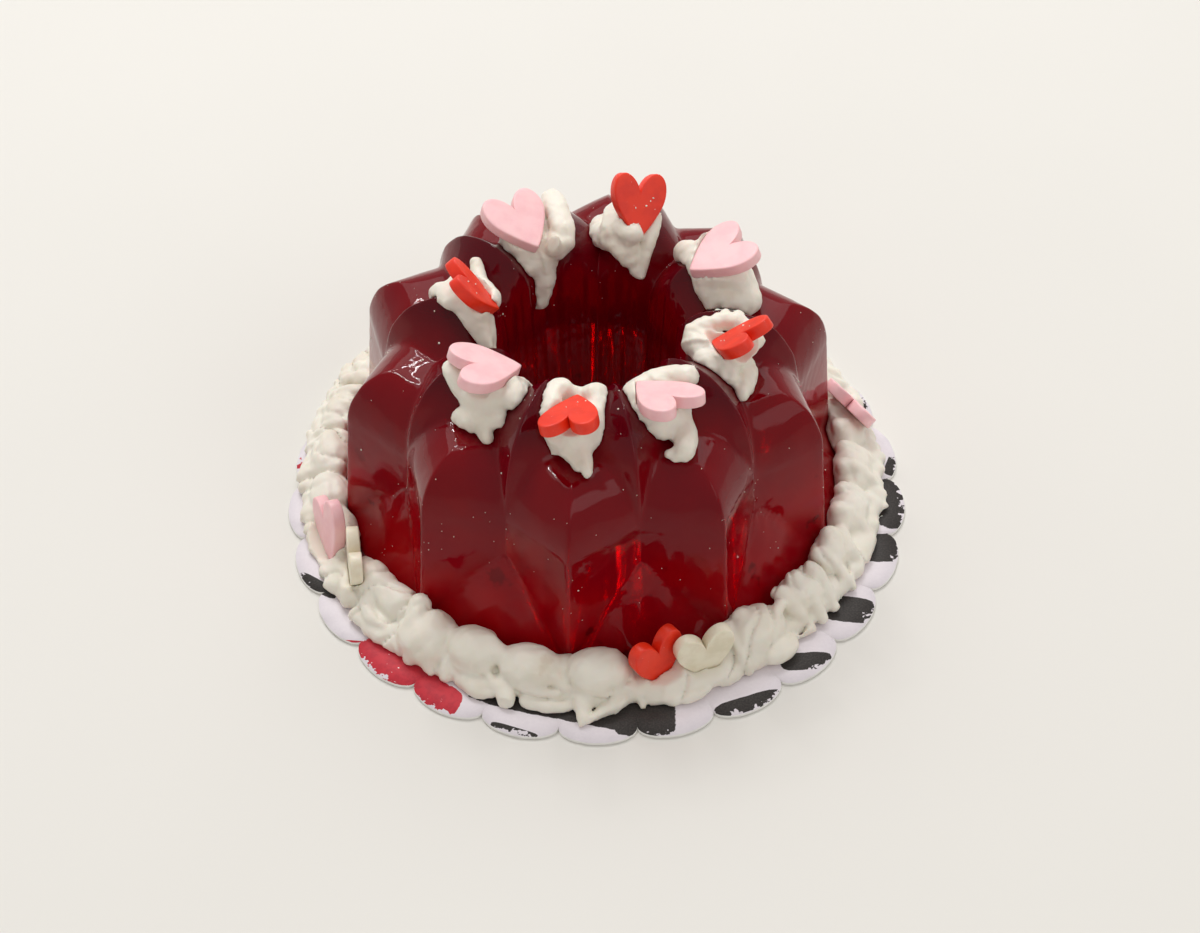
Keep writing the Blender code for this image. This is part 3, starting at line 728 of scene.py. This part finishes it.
# three places (azimuth, radius, height) along the roll, and its three radii
ROLLS = (
    ((-58, 22.5, 2.2), (-55.5, 23.7, 1.3), (-54, 24.2, 0.7), (0.9, 0.8, 0.45)),
    ((-50.5, 22.8, 2.1), (-48, 24.2, 1.6), (-44.3, 23.4, 1.5), (0.7, 0.7, 0.55)),
    ((-50.5, 24.1, 1.0), (-47.5, 24.2, 0.9), (-46, 23.6, 1.5), (0.7, 0.55, 0.4)),
    ((-46.5, 24.0, 0.8), (-43, 24.2, 0.8), (-40.2, 24.2, 0.45), (0.8, 0.7, 0.3)),
    ((-39.5, 21.1, 3.3), (-37.5, 23.5, 2.4), (-36, 24.2, 0.7), (0.95, 0.95, 0.6)),
    ((-35, 21.3, 2.9), (-33, 23.4, 2.2), (-31.5, 24.2, 0.7), (0.9, 0.9, 0.6)),
    ((-30.8, 21.5, 2.5), (-29.5, 23.2, 1.9), (-28, 24.2, 0.7), (0.8, 0.8, 0.5)),
    ((-22, 21.6, 3.2), (-18.5, 22.1, 2.9), (-16, 22.4, 2.1), (0.9, 0.8, 0.6)),
    ((-28.3, 22.8, 1.8), (-24.5, 24.1, 1.7), (-21, 23.2, 2.1), (0.5, 0.5, 0.35)),
    ((-25, 23.9, 0.7), (-21.8, 24.9, 0.7), (-18.8, 24.3, 0.8), (0.65, 0.65, 0.55)),
    ((-20.5, 23.2, 2.0), (-19.3, 23.7, 1.7), (-18, 24.2, 1.1), (0.35, 0.4, 0.4)),
    ((-11, 22.0, 2.9), (-7.5, 22.8, 2.4), (-5, 23.3, 1.7), (0.9, 0.8, 0.5)),
    ((-16.8, 23.0, 1.9), (-12, 24.4, 1.7), (-6.6, 23.8, 1.5), (0.5, 0.5, 0.4)),
    ((-16.6, 23.8, 1.1), (-15.3, 25.0, 0.8), (-14.3, 25.9, 0.45), (0.85, 0.7, 0.35)),
    ((-12, 24.2, 0.7), (-8, 24.8, 0.6), (-4.5, 24.3, 0.6), (0.7, 0.6, 0.45)),
    ((-4.2, 23.0, 1.8), (1, 24.5, 1.7), (6.2, 23.4, 1.8), (0.45, 0.5, 0.45)),
    ((-1.5, 23.9, 1.1), (-1.9, 25.2, 0.8), (-1.7, 26.1, 0.42), (0.8, 0.7, 0.3)),
    ((5, 23.9, 1.0), (2, 25.1, 0.8), (-0.8, 25.8, 0.45), (0.8, 0.7, 0.35)),
    ((6.6, 21.9, 2.2), (8, 23.4, 1.4), (9.2, 24.6, 0.45), (0.6, 0.5, 0.3)),
    ((8.2, 21.8, 1.6), (9.6, 23.2, 1.2), (10.8, 24.3, 0.5), (0.5, 0.45, 0.3)),
    ((11, 24.0, 0.7), (16, 24.9, 0.7), (21, 24.5, 0.7), (0.6, 0.6, 0.6)),
    ((20, 23.4, 1.0), (25.5, 24.3, 0.9), (29, 24.2, 0.5), (0.95, 0.85, 0.3)),
    ((42, 22.0, 3.3), (37.5, 23.0, 3.3), (30.7, 24.2, 1.0), (0.5, 0.45, 0.35)),
    ((29.5, 21.4, 2.6), (29.6, 23.2, 2.0), (30, 24.2, 0.8), (0.9, 0.8, 0.5)),
    ((33.5, 21.1, 3.1), (33, 22.8, 2.6), (31.3, 24.1, 1.1), (0.85, 0.75, 0.5)),
    ((44.5, 21.2, 2.9), (44.8, 22.9, 2.2), (46, 24.2, 0.6), (0.85, 0.8, 0.3)),
    ((49.3, 21.1, 3.1), (49.3, 22.9, 2.4), (48.8, 24.2, 0.9), (0.8, 0.75, 0.5)),
    ((54, 21.3, 2.8), (53.8, 22.9, 2.2), (52.6, 24.2, 0.8), (0.8, 0.75, 0.45)),
    ((58.8, 21.2, 2.8), (59.5, 22.8, 2.2), (58.6, 24.2, 0.8), (0.8, 0.75, 0.5)),
    ((64.6, 21.1, 2.8), (65.2, 22.6, 2.3), (64.2, 23.6, 1.0), (0.95, 0.95, 0.6)),
    ((-77, 22.4, 1.8), (-78.5, 23.6, 1.1), (-78, 24.2, 0.6), (0.7, 0.6, 0.3)),
)
for *path, sizes in ROLLS:
    border.roll([ring_place(*place) for place in path], sizes, soft=0.1)

rng = np.random.default_rng(11)
for azimuth in (*np.arange(73, 108, 6.3), *np.arange(112, 250, 4.3), *np.arange(-110, -84, 4.6)):
    swing, size = rng.uniform(-1.2, 1.2), rng.uniform(0.9, 1.08)
    tight = 0.72 if 125 < azimuth < 240 else 0.92
    path = ((azimuth, 20.9, 2.8 * size), (azimuth + swing + 0.6, 21.3 + 1.6 * tight, 2.3 * size),
            (azimuth + 2 * swing, 21.6 + 2.3 * tight, 0.7))
    border.roll([ring_place(*place) for place in path], (0.78, 0.74, 0.5), soft=0.1)
for azimuth in np.arange(113, 250, 12.7):
    border.mound(ring_place(azimuth, 21.2, 1.5), (1.5, 2.7, 1.9), azimuth, soft=0.3)

border.fold_lines(0.46, 2.3, 0.9, seed=61)
border.roughen(0.1, seed=31)
for node, cover in (("border_heart_1", -1.3), ("border_heart_2", -1.2), ("border_heart_3", -1.0),
                    ("border_heart_4", -0.9), ("border_heart_5", -2.2)):
    border.clear_slice(node, cover)
points, faces = border.skin(ring=True)
cream_border = make_piece("cream_border", points, faces, ["cream_ring"], "cream")


# %% [markdown]
# ## The dollops on the crown
#
# Each dollop is a few rolls that lie on the crown, pressed flat towards it. Its slice stamps
# its own shape into the paste.

# %% Dollops
CROWN = 11.2


def crown_place(azimuth, out, along, lift):
    """A place out and along from a dollop's middle, at a height above the crown's skin."""
    turn = math.radians(azimuth)
    radius = CROWN + out
    x = CENTRE[0] + radius * math.sin(turn) + along * math.cos(turn)
    y = CENTRE[1] - radius * math.cos(turn) + along * math.sin(turn)
    return [x, y, crown_height(x, y) + lift]


# azimuth, how far from the slice's middle its face is covered (or None), then rolls: three
# places (out, along, lift) and three radii
DOLLOPS = (
    (-6, None, (
        ((-2.9, -1.5, 0.2), (-1.0, -2.3, 0.2), (1.2, -1.5, 0.2), (0.7, 0.9, 0.8)),
        ((-2.7, 1.5, 0.2), (0.0, 1.9, 0.2), (1.2, 1.4, 0.2), (0.75, 0.8, 0.6)),
        ((-2.4, -1.2, 0.7), (-2.5, 0.0, 0.6), (-2.4, 1.2, 0.7), (0.7, 0.75, 0.7)),
        ((-1.8, 0.1, 0.1), (0.0, 0.0, 0.4), (1.2, 0.1, 0.3), (1.3, 1.6, 1.1)),
        ((-3.1, 0.1, 0.2), (-2.8, 0.1, 0.2), (-2.0, 0.1, 0.3), (0.3, 0.4, 0.6)),
        ((0.8, 0.1, 0.4), (2.3, 0.9, 0.35), (3.6, 1.3, 0.2), (0.9, 0.85, 0.45)),
        ((1.0, -0.9, 0.3), (2.2, -0.2, 0.3), (3.1, 0.6, 0.2), (0.7, 0.55, 0.35)),
    )),
    (29, None, (
        ((-2.5, -0.8, 0.2), (-2.7, 1.5, 0.2), (-0.9, 2.7, 0.2), (0.85, 1.0, 0.9)),
        ((-1.6, -1.4, 0.2), (0.0, -1.8, 0.2), (1.2, -0.8, 0.2), (1.0, 1.0, 0.9)),
        ((-1.2, 0.6, 0.3), (0.0, 0.8, 0.4), (1.2, 0.7, 0.3), (1.7, 1.7, 1.1)),
        ((1.0, 0.6, 0.3), (2.6, 1.0, 0.4), (3.5, -0.1, 0.3), (1.1, 1.0, 0.85)),
        ((3.3, 0.2, 0.2), (3.8, -0.4, 0.2), (3.1, -1.2, 0.1), (0.7, 0.6, 0.35)),
    )),
    (70, None, (
        ((-2.7, 0.3, 0.2), (-1.5, 0.0, 0.3), (0.0, 0.0, 0.4), (1.0, 1.4, 1.6)),
        ((-3.0, 0.9, 0.2), (-0.5, 3.6, 0.2), (1.6, 1.9, 0.2), (0.75, 0.9, 0.85)),
        ((0.2, -0.2, 0.4), (1.8, -0.4, 0.4), (1.9, -1.4, 0.3), (1.5, 1.2, 0.95)),
        ((1.4, -1.2, 0.3), (2.1, -2.0, 0.3), (2.1, -2.8, 0.2), (0.95, 0.8, 0.6)),
        ((-1.6, -1.4, 0.2), (-0.4, -2.0, 0.2), (1.0, -2.3, 0.2), (0.6, 0.7, 0.65)),
    )),
    (116, None, (
        ((-1.2, 3.5, 0.2), (-1.4, 1.6, 0.3), (-0.8, -0.4, 0.3), (0.8, 1.2, 1.5)),
        ((-1.3, -2.2, 0.2), (-0.2, -3.9, 0.2), (1.5, -2.8, 0.2), (0.85, 0.9, 1.0)),
        ((0.2, 0.6, 0.4), (0.8, -0.6, 0.4), (0.6, -2.2, 0.4), (1.5, 1.8, 1.2)),
        ((1.8, -0.6, 0.2), (2.3, -1.6, 0.2), (1.7, -2.6, 0.3), (0.9, 0.9, 0.8)),
        ((-1.6, 0.0, 0.2), (-2.0, -1.2, 0.2), (-1.6, -2.2, 0.2), (0.8, 0.7, 0.6)),
    )),
    (162, -1.2, (
        ((0.2, 2.9, 0.2), (-1.6, 2.4, 0.3), (-2.6, 0.8, 0.3), (0.75, 1.0, 0.9)),
        ((-0.5, -1.6, 0.2), (-2.2, -1.9, 0.3), (-4.2, -2.0, 0.2), (0.9, 0.9, 0.35)),
        ((-0.4, 0.4, 0.5), (-1.6, 0.2, 0.6), (-2.8, -0.7, 0.4), (1.8, 1.5, 1.0)),
        ((-1.8, 0.6, 0.5), (-3.2, -0.1, 0.3), (-4.1, -1.4, 0.0), (1.4, 1.3, 0.5)),
        ((0.6, 1.8, 0.3), (1.2, 0.6, 0.3), (0.8, -1.0, 0.3), (0.9, 1.0, 0.8)),
    )),
    (-156, -1.9, (
        ((1.4, -2.2, 0.1), (-1.0, -2.0, 0.3), (-3.4, -1.2, 0.3), (0.75, 1.0, 0.9)),
        ((0.4, 0.0, 0.4), (-1.2, 0.4, 0.4), (-2.8, 0.6, 0.3), (1.7, 1.7, 1.4)),
        ((-2.8, 0.4, 0.3), (-4.0, 0.9, 0.4), (-4.3, 1.5, -1.4), (1.3, 1.1, 0.55)),
        ((-1.4, 1.8, 0.2), (-2.4, 2.3, 0.2), (-3.4, 1.8, 0.2), (0.7, 0.7, 0.7)),
        ((-3.0, -0.8, 0.3), (-3.8, -0.4, 0.2), (-4.3, 0.2, -0.6), (0.9, 0.8, 0.5)),
    )),
    (-100, -1.5, (
        ((1.3, -1.2, 0.2), (0.6, 0.2, 0.3), (-0.6, 1.6, 0.3), (0.65, 0.8, 0.75)),
        ((-1.4, -3.8, 0.5), (-2.2, -1.8, 0.4), (-3.3, 0.4, 0.3), (0.5, 0.75, 0.9)),
        ((-0.6, -0.6, 0.3), (-1.4, 0.4, 0.4), (-2.2, 0.8, 0.4), (1.0, 1.3, 1.2)),
        ((-1.4, 1.4, 0.3), (-2.8, 2.4, 0.3), (-3.8, 3.9, 0.1), (1.1, 1.0, 0.5)),
        ((-2.6, 1.0, 0.3), (-3.6, 2.0, 0.3), (-4.1, 3.6, -0.2), (0.8, 0.6, 0.35)),
    )),
    (-45, None, (
        ((-4.1, 0.2, 0.4), (-2.6, 1.0, 0.4), (-1.0, 2.1, 0.4), (0.65, 0.95, 0.95)),
        ((-1.2, -0.6, 0.3), (0.0, -0.4, 0.4), (0.8, 0.4, 0.4), (1.4, 1.8, 1.5)),
        ((1.0, -2.4, 0.2), (1.7, 0.0, 0.5), (-0.4, 2.5, 0.3), (0.85, 0.95, 0.75)),
        ((2.3, -0.5, 0.2), (2.3, 1.1, 0.3), (1.0, 2.4, 0.2), (0.7, 0.8, 0.75)),
        ((1.8, 1.6, 0.2), (2.1, 2.2, 0.2), (2.4, 2.6, 0.2), (0.7, 0.6, 0.45)),
    )),
)
BEDS = ((3.2, 0.95), (3.2, 0.85), (2.4, 1.15), (2.4, 0.9), (2.6, 0.9), (3.0, 0.95), (2.4, 0.9), (3.2, 1.0))
LIFT = 0.4
dollops = []
for number, (azimuth, cover, rolls) in enumerate(DOLLOPS, 1):
    x, y, _ = crown_place(azimuth, 0, 0, 0)
    axes = (np.arange(x - 6.2, x + 6.2, 0.13), np.arange(y - 6.2, y + 6.2, 0.13), np.arange(14.4, 22.9, 0.13))
    paste = Paste(np.stack(np.meshgrid(*axes, indexing="ij"), axis=-1), -0.3, 2.9)
    for *path, sizes in rolls:
        lifted = [(out, along, lift + LIFT) for out, along, lift in path]
        paste.roll([crown_place(azimuth, *place) for place in lifted], sizes, flat=0.85, soft=0.4)
    paste.bed(f"heart_{number}", *BEDS[number - 1])
    paste.roughen(0.16, seed=200 + 9 * number)
    for node in COLOURS:
        if "border" not in node:
            paste.clear_slice(node, cover if node == f"heart_{number}" else None)
    dollops.append(make_piece(f"cream_dollop_{number}", *paste.skin(),
                              [f"dollop_{number}"], "cream"))


# %% [markdown]
# ## Dust, and painted glints on the red slices
#
# Specks of dust and tiny bubbles sit in the jelly's skin, and a few white grains on the red
# slices are painted highlights, glints of light made as specks. They are about a tenth of a
# millimetre, so one mesh of small round grains at random places will do.

# %% Specks in the skin
rng = np.random.default_rng(77)
specks = Stack()
polar, around = np.linspace(0, math.pi, 6)[:, None], np.linspace(0, 2 * math.pi, 8, endpoint=False)
ball = np.stack([np.sin(polar) * np.cos(around), np.sin(polar) * np.sin(around),
                 np.cos(polar) + 0 * around], axis=-1)[::-1]
for _ in range(320):
    row, column = rng.integers(4, 120), rng.integers(jelly_points.shape[1])
    size = rng.choice([0.03, 0.045, 0.075], p=[0.6, 0.3, 0.1]) * rng.uniform(0.7, 1.3, 3)
    specks.lump(jelly_points[row, column] + ball * size)
# painted highlights: white grains on the faces of the red slices stand for glints of light
for node in ("heart_1", "heart_3", "heart_5", "heart_7"):
    middle, across, notch, normal, _ = slice_axes(node)
    for side, up in rng.uniform(-1.4, 1.4, (4, 2)):
        size = rng.uniform(0.04, 0.1, 3)
        specks.lump(middle + side * across + up * notch + SLICE / 2 * normal + ball * size)
dust_and_glints = specks.piece("dust_and_glint_specks", [], "cream")


# %% [markdown]
# ## Materials
#
# A material is a graph of nodes, and its arithmetic reads badly as node calls. So a socket is
# wrapped in a small class that understands Python's operators: a product of two wrapped
# sockets adds a Multiply node and returns its output, wrapped again.

# %% A socket that can do sums
class Flow:
    """An output socket of a material's tree."""

    def __init__(self, tree, socket):
        self.tree, self.socket = tree, socket

    def node(self, kind, inputs=(), output=0, **settings):
        """Adds a node of a type, sets its settings, then its inputs by name or number."""
        return add_node(self.tree, kind, inputs, output, **settings)

    def _sum(self, operation, *values):
        return self.node("ShaderNodeMath", dict(enumerate(values)), operation=operation)

    def __add__(self, other):
        return self._sum("ADD", self, other)

    __radd__ = __add__

    def __mul__(self, other):
        return self._sum("MULTIPLY", self, other)

    __rmul__ = __mul__

    def __sub__(self, other):
        return self._sum("SUBTRACT", self, other)

    def __rsub__(self, other):
        return self._sum("SUBTRACT", other, self)

    def __truediv__(self, other):
        return self._sum("DIVIDE", self, other)

    def __pow__(self, other):
        return self._sum("POWER", self, other)

    def __abs__(self):
        return self._sum("ABSOLUTE", self)

    def least(self, other):
        return self._sum("MINIMUM", self, other)

    def most(self, other):
        return self._sum("MAXIMUM", self, other)

    def step(self, low, high):
        """0 below low, 1 above high, smooth between. With low above high it falls."""
        inputs = {"Value": self, "From Min": low, "From Max": high}
        return self.node("ShaderNodeMapRange", inputs, interpolation_type="SMOOTHSTEP")


def add_node(tree, kind, inputs=(), output=0, **settings):
    node = tree.nodes.new(kind)
    for name, value in settings.items():
        setattr(node, name, value)
    for name, value in dict(inputs).items():
        if isinstance(value, Flow):
            tree.links.new(value.socket, node.inputs[name])
        else:
            node.inputs[name].default_value = value
    return Flow(tree, node.outputs[output])


class Finish:
    """A material with its Principled shader and the place on the object in millimetres."""

    def __init__(self, name, **constants):
        self.material = bpy.data.materials.new(name)
        self.material.use_nodes = True
        self.tree = self.material.node_tree
        self.shader = self.tree.nodes["Principled BSDF"]
        for socket, value in constants.items():
            self.shader.inputs[socket.replace("_", " ")].default_value = value
        place = add_node(self.tree, "ShaderNodeTexCoord", output=3)
        self.place = add_node(self.tree, "ShaderNodeVectorMath", {0: place, "Scale": 1 / MM},
                              operation="SCALE")
        self.x = self.axis(0)
        self.y = self.axis(1)
        self.z = self.axis(2)

    def axis(self, number):
        return add_node(self.tree, "ShaderNodeSeparateXYZ", {0: self.place}, output=number)

    def noise(self, size, detail=3.0, roughness=0.55, stretch=None, output=0):
        """Noise with features of about size millimetres."""
        place = self.place
        if stretch:
            place = add_node(self.tree, "ShaderNodeVectorMath", {0: place, 1: stretch}, operation="MULTIPLY")
        inputs = {"Vector": place, "Scale": 1 / size, "Detail": detail, "Roughness": roughness}
        return add_node(self.tree, "ShaderNodeTexNoise", inputs, output)

    def mix(self, factor, first, second):
        """first where the factor is 0, second where it is 1."""
        inputs = {"Factor": factor, 6: first, 7: second}
        return add_node(self.tree, "ShaderNodeMix", inputs, 2, data_type="RGBA")

    def feed(self, socket, value):
        self.tree.links.new(value.socket, self.shader.inputs[socket])

    def bump(self, height, strength, distance):
        """distance is in millimetres."""
        inputs = {"Height": height, "Strength": strength, "Distance": distance * MM}
        self.feed("Normal", add_node(self.tree, "ShaderNodeBump", inputs))

    def onto(self, *pieces):
        for piece in pieces:
            piece.data.materials.clear()
            piece.data.materials.append(self.material)


def colour(red, green, blue):
    """A colour as a screen shows it, 0 to 255, in the linear numbers that a shader takes."""
    share = np.array([red, green, blue]) / 255
    linear = np.where(share < 0.04045, share / 12.92, ((share + 0.055) / 1.055) ** 2.4)
    return (*linear.tolist(), 1.0)


# %% [markdown]
# ### Ruby resin
#
# The jelly is clear, and its colour comes from depth: thin parts are bright red and thick
# parts nearly black. So the surface bends and mirrors light, and an absorbing volume
# inside takes out green and blue quickly and red slowly. Some of the surface's light is
# diffuse too, and that colour is painted light: a brighter red towards the foot is a painted
# glow, where light comes through the thin flares, and a darker red over the crown is painted
# shade.

# %% Ruby resin
ruby = Finish("ruby resin", Roughness=0.03, IOR=1.34,
              **{"Transmission_Weight": 0.45, "Specular_IOR_Level": 0.3})
# painted glow: the base red is brighter towards the foot, where light shines through the thin flares
painted_glow_at_foot = ruby.z.step(14.0, 1.0)
body = ruby.mix(painted_glow_at_foot, (0.30, 0.0006, 0.006, 1), (0.60, 0.0015, 0.006, 1))
body = ruby.mix(ruby.noise(6.0, 2.0).step(0.35, 0.65) * 0.4, body, (0.24, 0.0008, 0.012, 1))
body = ruby.mix(ruby.noise(2.6, 3.0).step(0.64, 0.72) * painted_glow_at_foot * 0.7, body, (0.05, 0.0, 0.002, 1))
# painted shade: the base red is darker over the crown
ruby.feed("Base Color", ruby.mix(ruby.z.step(16.5, 19.5) * 0.75, body, (0.10, 0.0008, 0.008, 1)))
ruby.feed("Roughness", 0.02 + 0.08 * ruby.noise(4.0).step(0.5, 0.75))
ruby.bump(ruby.noise(1.6, 2.0) + 0.3 * ruby.noise(0.35, 3.0), 0.25, 0.05)
absorption = ruby.tree.nodes.new("ShaderNodeVolumeAbsorption")
absorption.inputs["Color"].default_value = (0.90, 0.0, 0.05, 1)
absorption.inputs["Density"].default_value = 600
ruby.tree.links.new(absorption.outputs[0], ruby.tree.nodes["Material Output"].inputs["Volume"])
ruby.onto(jelly)


# %% [markdown]
# ### Cream
#
# An air-drying paste with a soft satin surface. Its colour is an off-white that is slightly
# darker and warmer in patches, and its skin has a fine grain.

# %% Cream
cream = Finish("cream", Roughness=0.45, IOR=1.45, **{"Subsurface_Weight": 0.12, "Subsurface_Scale": 0.4 * MM})
base = cream.mix(cream.noise(5.0).step(0.4, 0.75), colour(235, 229, 216), colour(225, 216, 200))
stain = cream.noise(2.4, 4.0).step(0.66, 0.8) * 0.35
cream.feed("Base Color", cream.mix(stain, base, colour(196, 176, 150)))
cream.feed("Roughness", 0.36 + 0.22 * cream.noise(0.8))
cream.bump(cream.noise(0.5, 4.0) + 0.5 * cream.noise(0.12, 2.0), 0.35, 0.03)
cream.onto(cream_border, dust_and_glints, *dollops)


# %% [markdown]
# ### Polymer clay
#
# Three colours of the same clay. The cut faces are satin, with faint marks of the blade and
# white specks: dust that stuck to them, and on the red clay painted highlights as well.

# %% Polymer clay
def clay(name, face, dark, dust_and_glints):
    finish = Finish(f"{name} clay", Roughness=0.42, IOR=1.5,
                    **{"Subsurface_Weight": 0.1, "Subsurface_Scale": 0.3 * MM})
    body = finish.mix(finish.noise(1.5).step(0.35, 0.7), face, dark)
    # white specks: dust, and on the red clay, where they are thickest, painted highlights too
    specks = finish.noise(0.16, 2.0).step(0.735, 0.77) * dust_and_glints
    finish.feed("Base Color", finish.mix(specks, body, colour(240, 236, 230)))
    finish.feed("Roughness", 0.34 + 0.2 * finish.noise(0.5))
    blade = finish.noise(0.22, 2.0, stretch=(1.0, 0.25, 0.6))
    finish.bump(blade, 0.25, 0.02)
    return finish


clays = {
    "red": clay("red", colour(240, 52, 16), colour(226, 42, 14), 0.6),
    "pink": clay("pink", colour(247, 198, 200), colour(241, 186, 190), 0.3),
    "ivory": clay("ivory", colour(238, 230, 208), colour(226, 216, 190), 0.1),
}
for node, name in COLOURS.items():
    clays[name].onto(hearts[node])


# %% [markdown]
# ### Printed card
#
# The card is white, printed with a loose pattern of black bars and red patches, as if dabbed
# with a dry brush. Each dab is a rounded box: its edge is where |u/a|^4 + |v/b|^4 is 1, with
# u and v measured along and across it, and noise makes the ends ragged. The cut edge and the
# underside show white paper.

# %% Printed card
# middle x and y, half length, half width, angle in degrees
BLACK_DABS = (
    (-2.6, -21.6, 7.6, 1.55, -14),
    (3.6, -22.9, 2.4, 1.9, 0),
    (-6.4, -24.1, 1.9, 0.28, -20),
    (11.6, -21.7, 2.7, 0.72, 20),
    (16.3, -17.6, 2.0, 0.86, 4),
    (19.9, -12.4, 2.1, 1.3, -8),
    (23.2, -6.0, 1.7, 1.5, 0),
    (24.9, -1.2, 2.0, 2.8, 0),
    (25.2, 3.9, 0.7, 2.2, -22),
    (22.9, 10.2, 1.1, 0.7, 20),
    (-22.4, -9.6, 2.0, 0.55, -35),
    (-22.9, 11.0, 1.3, 0.4, 55),
    (-18.0, 16.9, 2.2, 0.8, 40),
    (-8.0, 23.4, 2.6, 0.8, 15),
    (7.4, 23.7, 2.3, 0.9, -10),
    (17.6, 16.9, 1.6, 1.3, -30),
)
RED_DABS = (
    (-16.0, -18.6, 3.9, 2.6, -40),
    (-13.0, -21.2, 2.3, 2.0, -30),
    (-18.2, -15.7, 2.6, 0.35, -6),
    (-25.1, 4.2, 0.4, 1.1, 15),
    (-13.6, 20.8, 2.0, 1.2, 35),
)
printed = Finish("printed card", Roughness=0.6, IOR=1.45)
ragged = (printed.noise(0.5, 4.0, 0.7) - 0.5) * 0.9 + (printed.noise(2.0, 2.0) - 0.5) * 0.5


def dabs(finish, table):
    """The most that any dab covers each point."""
    cover = None
    for x, y, length, width, angle in table:
        c, s = math.cos(math.radians(angle)), math.sin(math.radians(angle))
        u = ((finish.x - x) * c + (finish.y - y) * s) / length
        v = ((finish.y - y) * c - (finish.x - x) * s) / width
        one = (u * u * u * u + v * v * v * v + ragged * 0.7).step(1.05, 0.95)
        cover = one if cover is None else cover.most(one)
    return cover


fibres = printed.noise(0.25, 3.0)
white = printed.mix(fibres, colour(236, 228, 232), colour(226, 217, 223))
black = printed.mix(printed.noise(0.15, 2.0).step(0.3, 0.8), colour(40, 35, 33), colour(62, 56, 52))
red = printed.mix(printed.noise(0.6, 3.0).step(0.35, 0.7), colour(202, 44, 58), colour(184, 38, 54))
red = printed.mix(printed.noise(0.35, 2.0).step(0.72, 0.75), red, colour(240, 226, 228))
print_top = printed.mix(dabs(printed, BLACK_DABS), printed.mix(dabs(printed, RED_DABS), white, red), black)
# the punch tore the print off the rim, in chips: measured by the square of the distance out
outwards = printed.x * printed.x + printed.y * printed.y
torn = (outwards + (printed.noise(0.55, 2.5, 0.55) - 0.5) * 130).step(630, 636)
print_top = printed.mix(torn, print_top, white)
on_top = printed.z.step(CARD_TOP - 0.03, CARD_TOP - 0.01)
printed.feed("Base Color", printed.mix(on_top, colour(238, 236, 232), print_top))
printed.bump(fibres + printed.noise(0.08, 2.0), 0.3, 0.02)
printed.onto(card)


# %% [markdown]
# ## Floor, light and camera
#
# The real object lies on a sheet of pale paper under a soft, wide light. The floor is a large
# plane, the sky is an even warm white, and one big lamp over the left shoulder gives the
# cream its shading.

# %% Floor
floor_mesh = bpy.data.meshes.new("floor")
reach = 0.6
floor_mesh.from_pydata([(-reach, -reach, 0), (reach, -reach, 0), (reach, reach, 0), (-reach, reach, 0)],
                       [], [(0, 1, 2, 3)])
floor = bpy.data.objects.new("floor", floor_mesh)
floor.location.z = -0.00002
bpy.context.collection.objects.link(floor)
floor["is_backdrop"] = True
paper = Finish("floor paper", Roughness=0.8)
paper.feed("Base Color", paper.mix(paper.noise(40.0, 2.0), colour(226, 223, 217), colour(222, 219, 213)))
paper.onto(floor)

# %% Light
scene = bpy.context.scene
scene.view_settings.view_transform = "Standard"
world = bpy.data.worlds.new("studio")
scene.world = world
world.use_nodes = True
sky = world.node_tree.nodes["Background"]
sky.inputs["Color"].default_value = (1.0, 0.985, 0.96, 1)
sky.inputs["Strength"].default_value = 0.57


def soft_lamp(name, place, size, power, aim=(0, 0, 0.01)):
    lamp = bpy.data.lights.new(name, "AREA")
    lamp.shape, lamp.size, lamp.size_y = "RECTANGLE", *size
    lamp.energy = power
    thing = bpy.data.objects.new(name, lamp)
    thing.location = place
    thing.rotation_euler = (Vector(aim) - Vector(place)).to_track_quat("-Z", "Y").to_euler()
    bpy.context.collection.objects.link(thing)
    return thing


WINDOW = Vector((-0.10, 0.26, 0.42))
WINDOW_HALF = (0.085, 0.065)
across = WINDOW.cross(Vector((0, 0, 1))).normalized()
upwards = across.cross(WINDOW).normalized()
for name, side, size in (("left", -across * WINDOW_HALF[0], (0.007, 2 * WINDOW_HALF[1])),
                         ("right", across * WINDOW_HALF[0], (0.007, 2 * WINDOW_HALF[1])),
                         ("top", upwards * WINDOW_HALF[1], (2 * WINDOW_HALF[0], 0.007)),
                         ("bottom", -upwards * WINDOW_HALF[1], (2 * WINDOW_HALF[0], 0.007))):
    soft_lamp(f"window {name}", WINDOW + side, size, 0.22)
soft_lamp("sky light", (0.0, 0.42, 0.55), (0.9, 0.45), 1.9)
soft_lamp("fill", (0.35, -0.25, 0.40), (0.30, 0.30), 0.35)

# %% Camera
CAMERA_PLACE = Vector((0.30, -143.3, 160.6)) * MM
CAMERA_AIM = Vector((0.30, 3.40, 0.0)) * MM
CAMERA_ROLL = 0.38
camera_data = bpy.data.cameras.new("camera")
camera_data.lens = 78.0
camera = bpy.data.objects.new("camera", camera_data)
turn = (CAMERA_AIM - CAMERA_PLACE).to_track_quat("-Z", "Y").to_matrix().to_4x4()
camera.matrix_world = Matrix.Translation(CAMERA_PLACE) @ turn @ Matrix.Rotation(math.radians(-CAMERA_ROLL), 4, "Z")
camera_data.clip_start, camera_data.clip_end = 0.01, 5.0
bpy.context.collection.objects.link(camera)
scene.camera = camera

# %% Sizes and the end
sizes = {"cad": [list(corner) for corner in cad_bounds], "visual": [list(corner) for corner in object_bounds()]}
print(sizes)
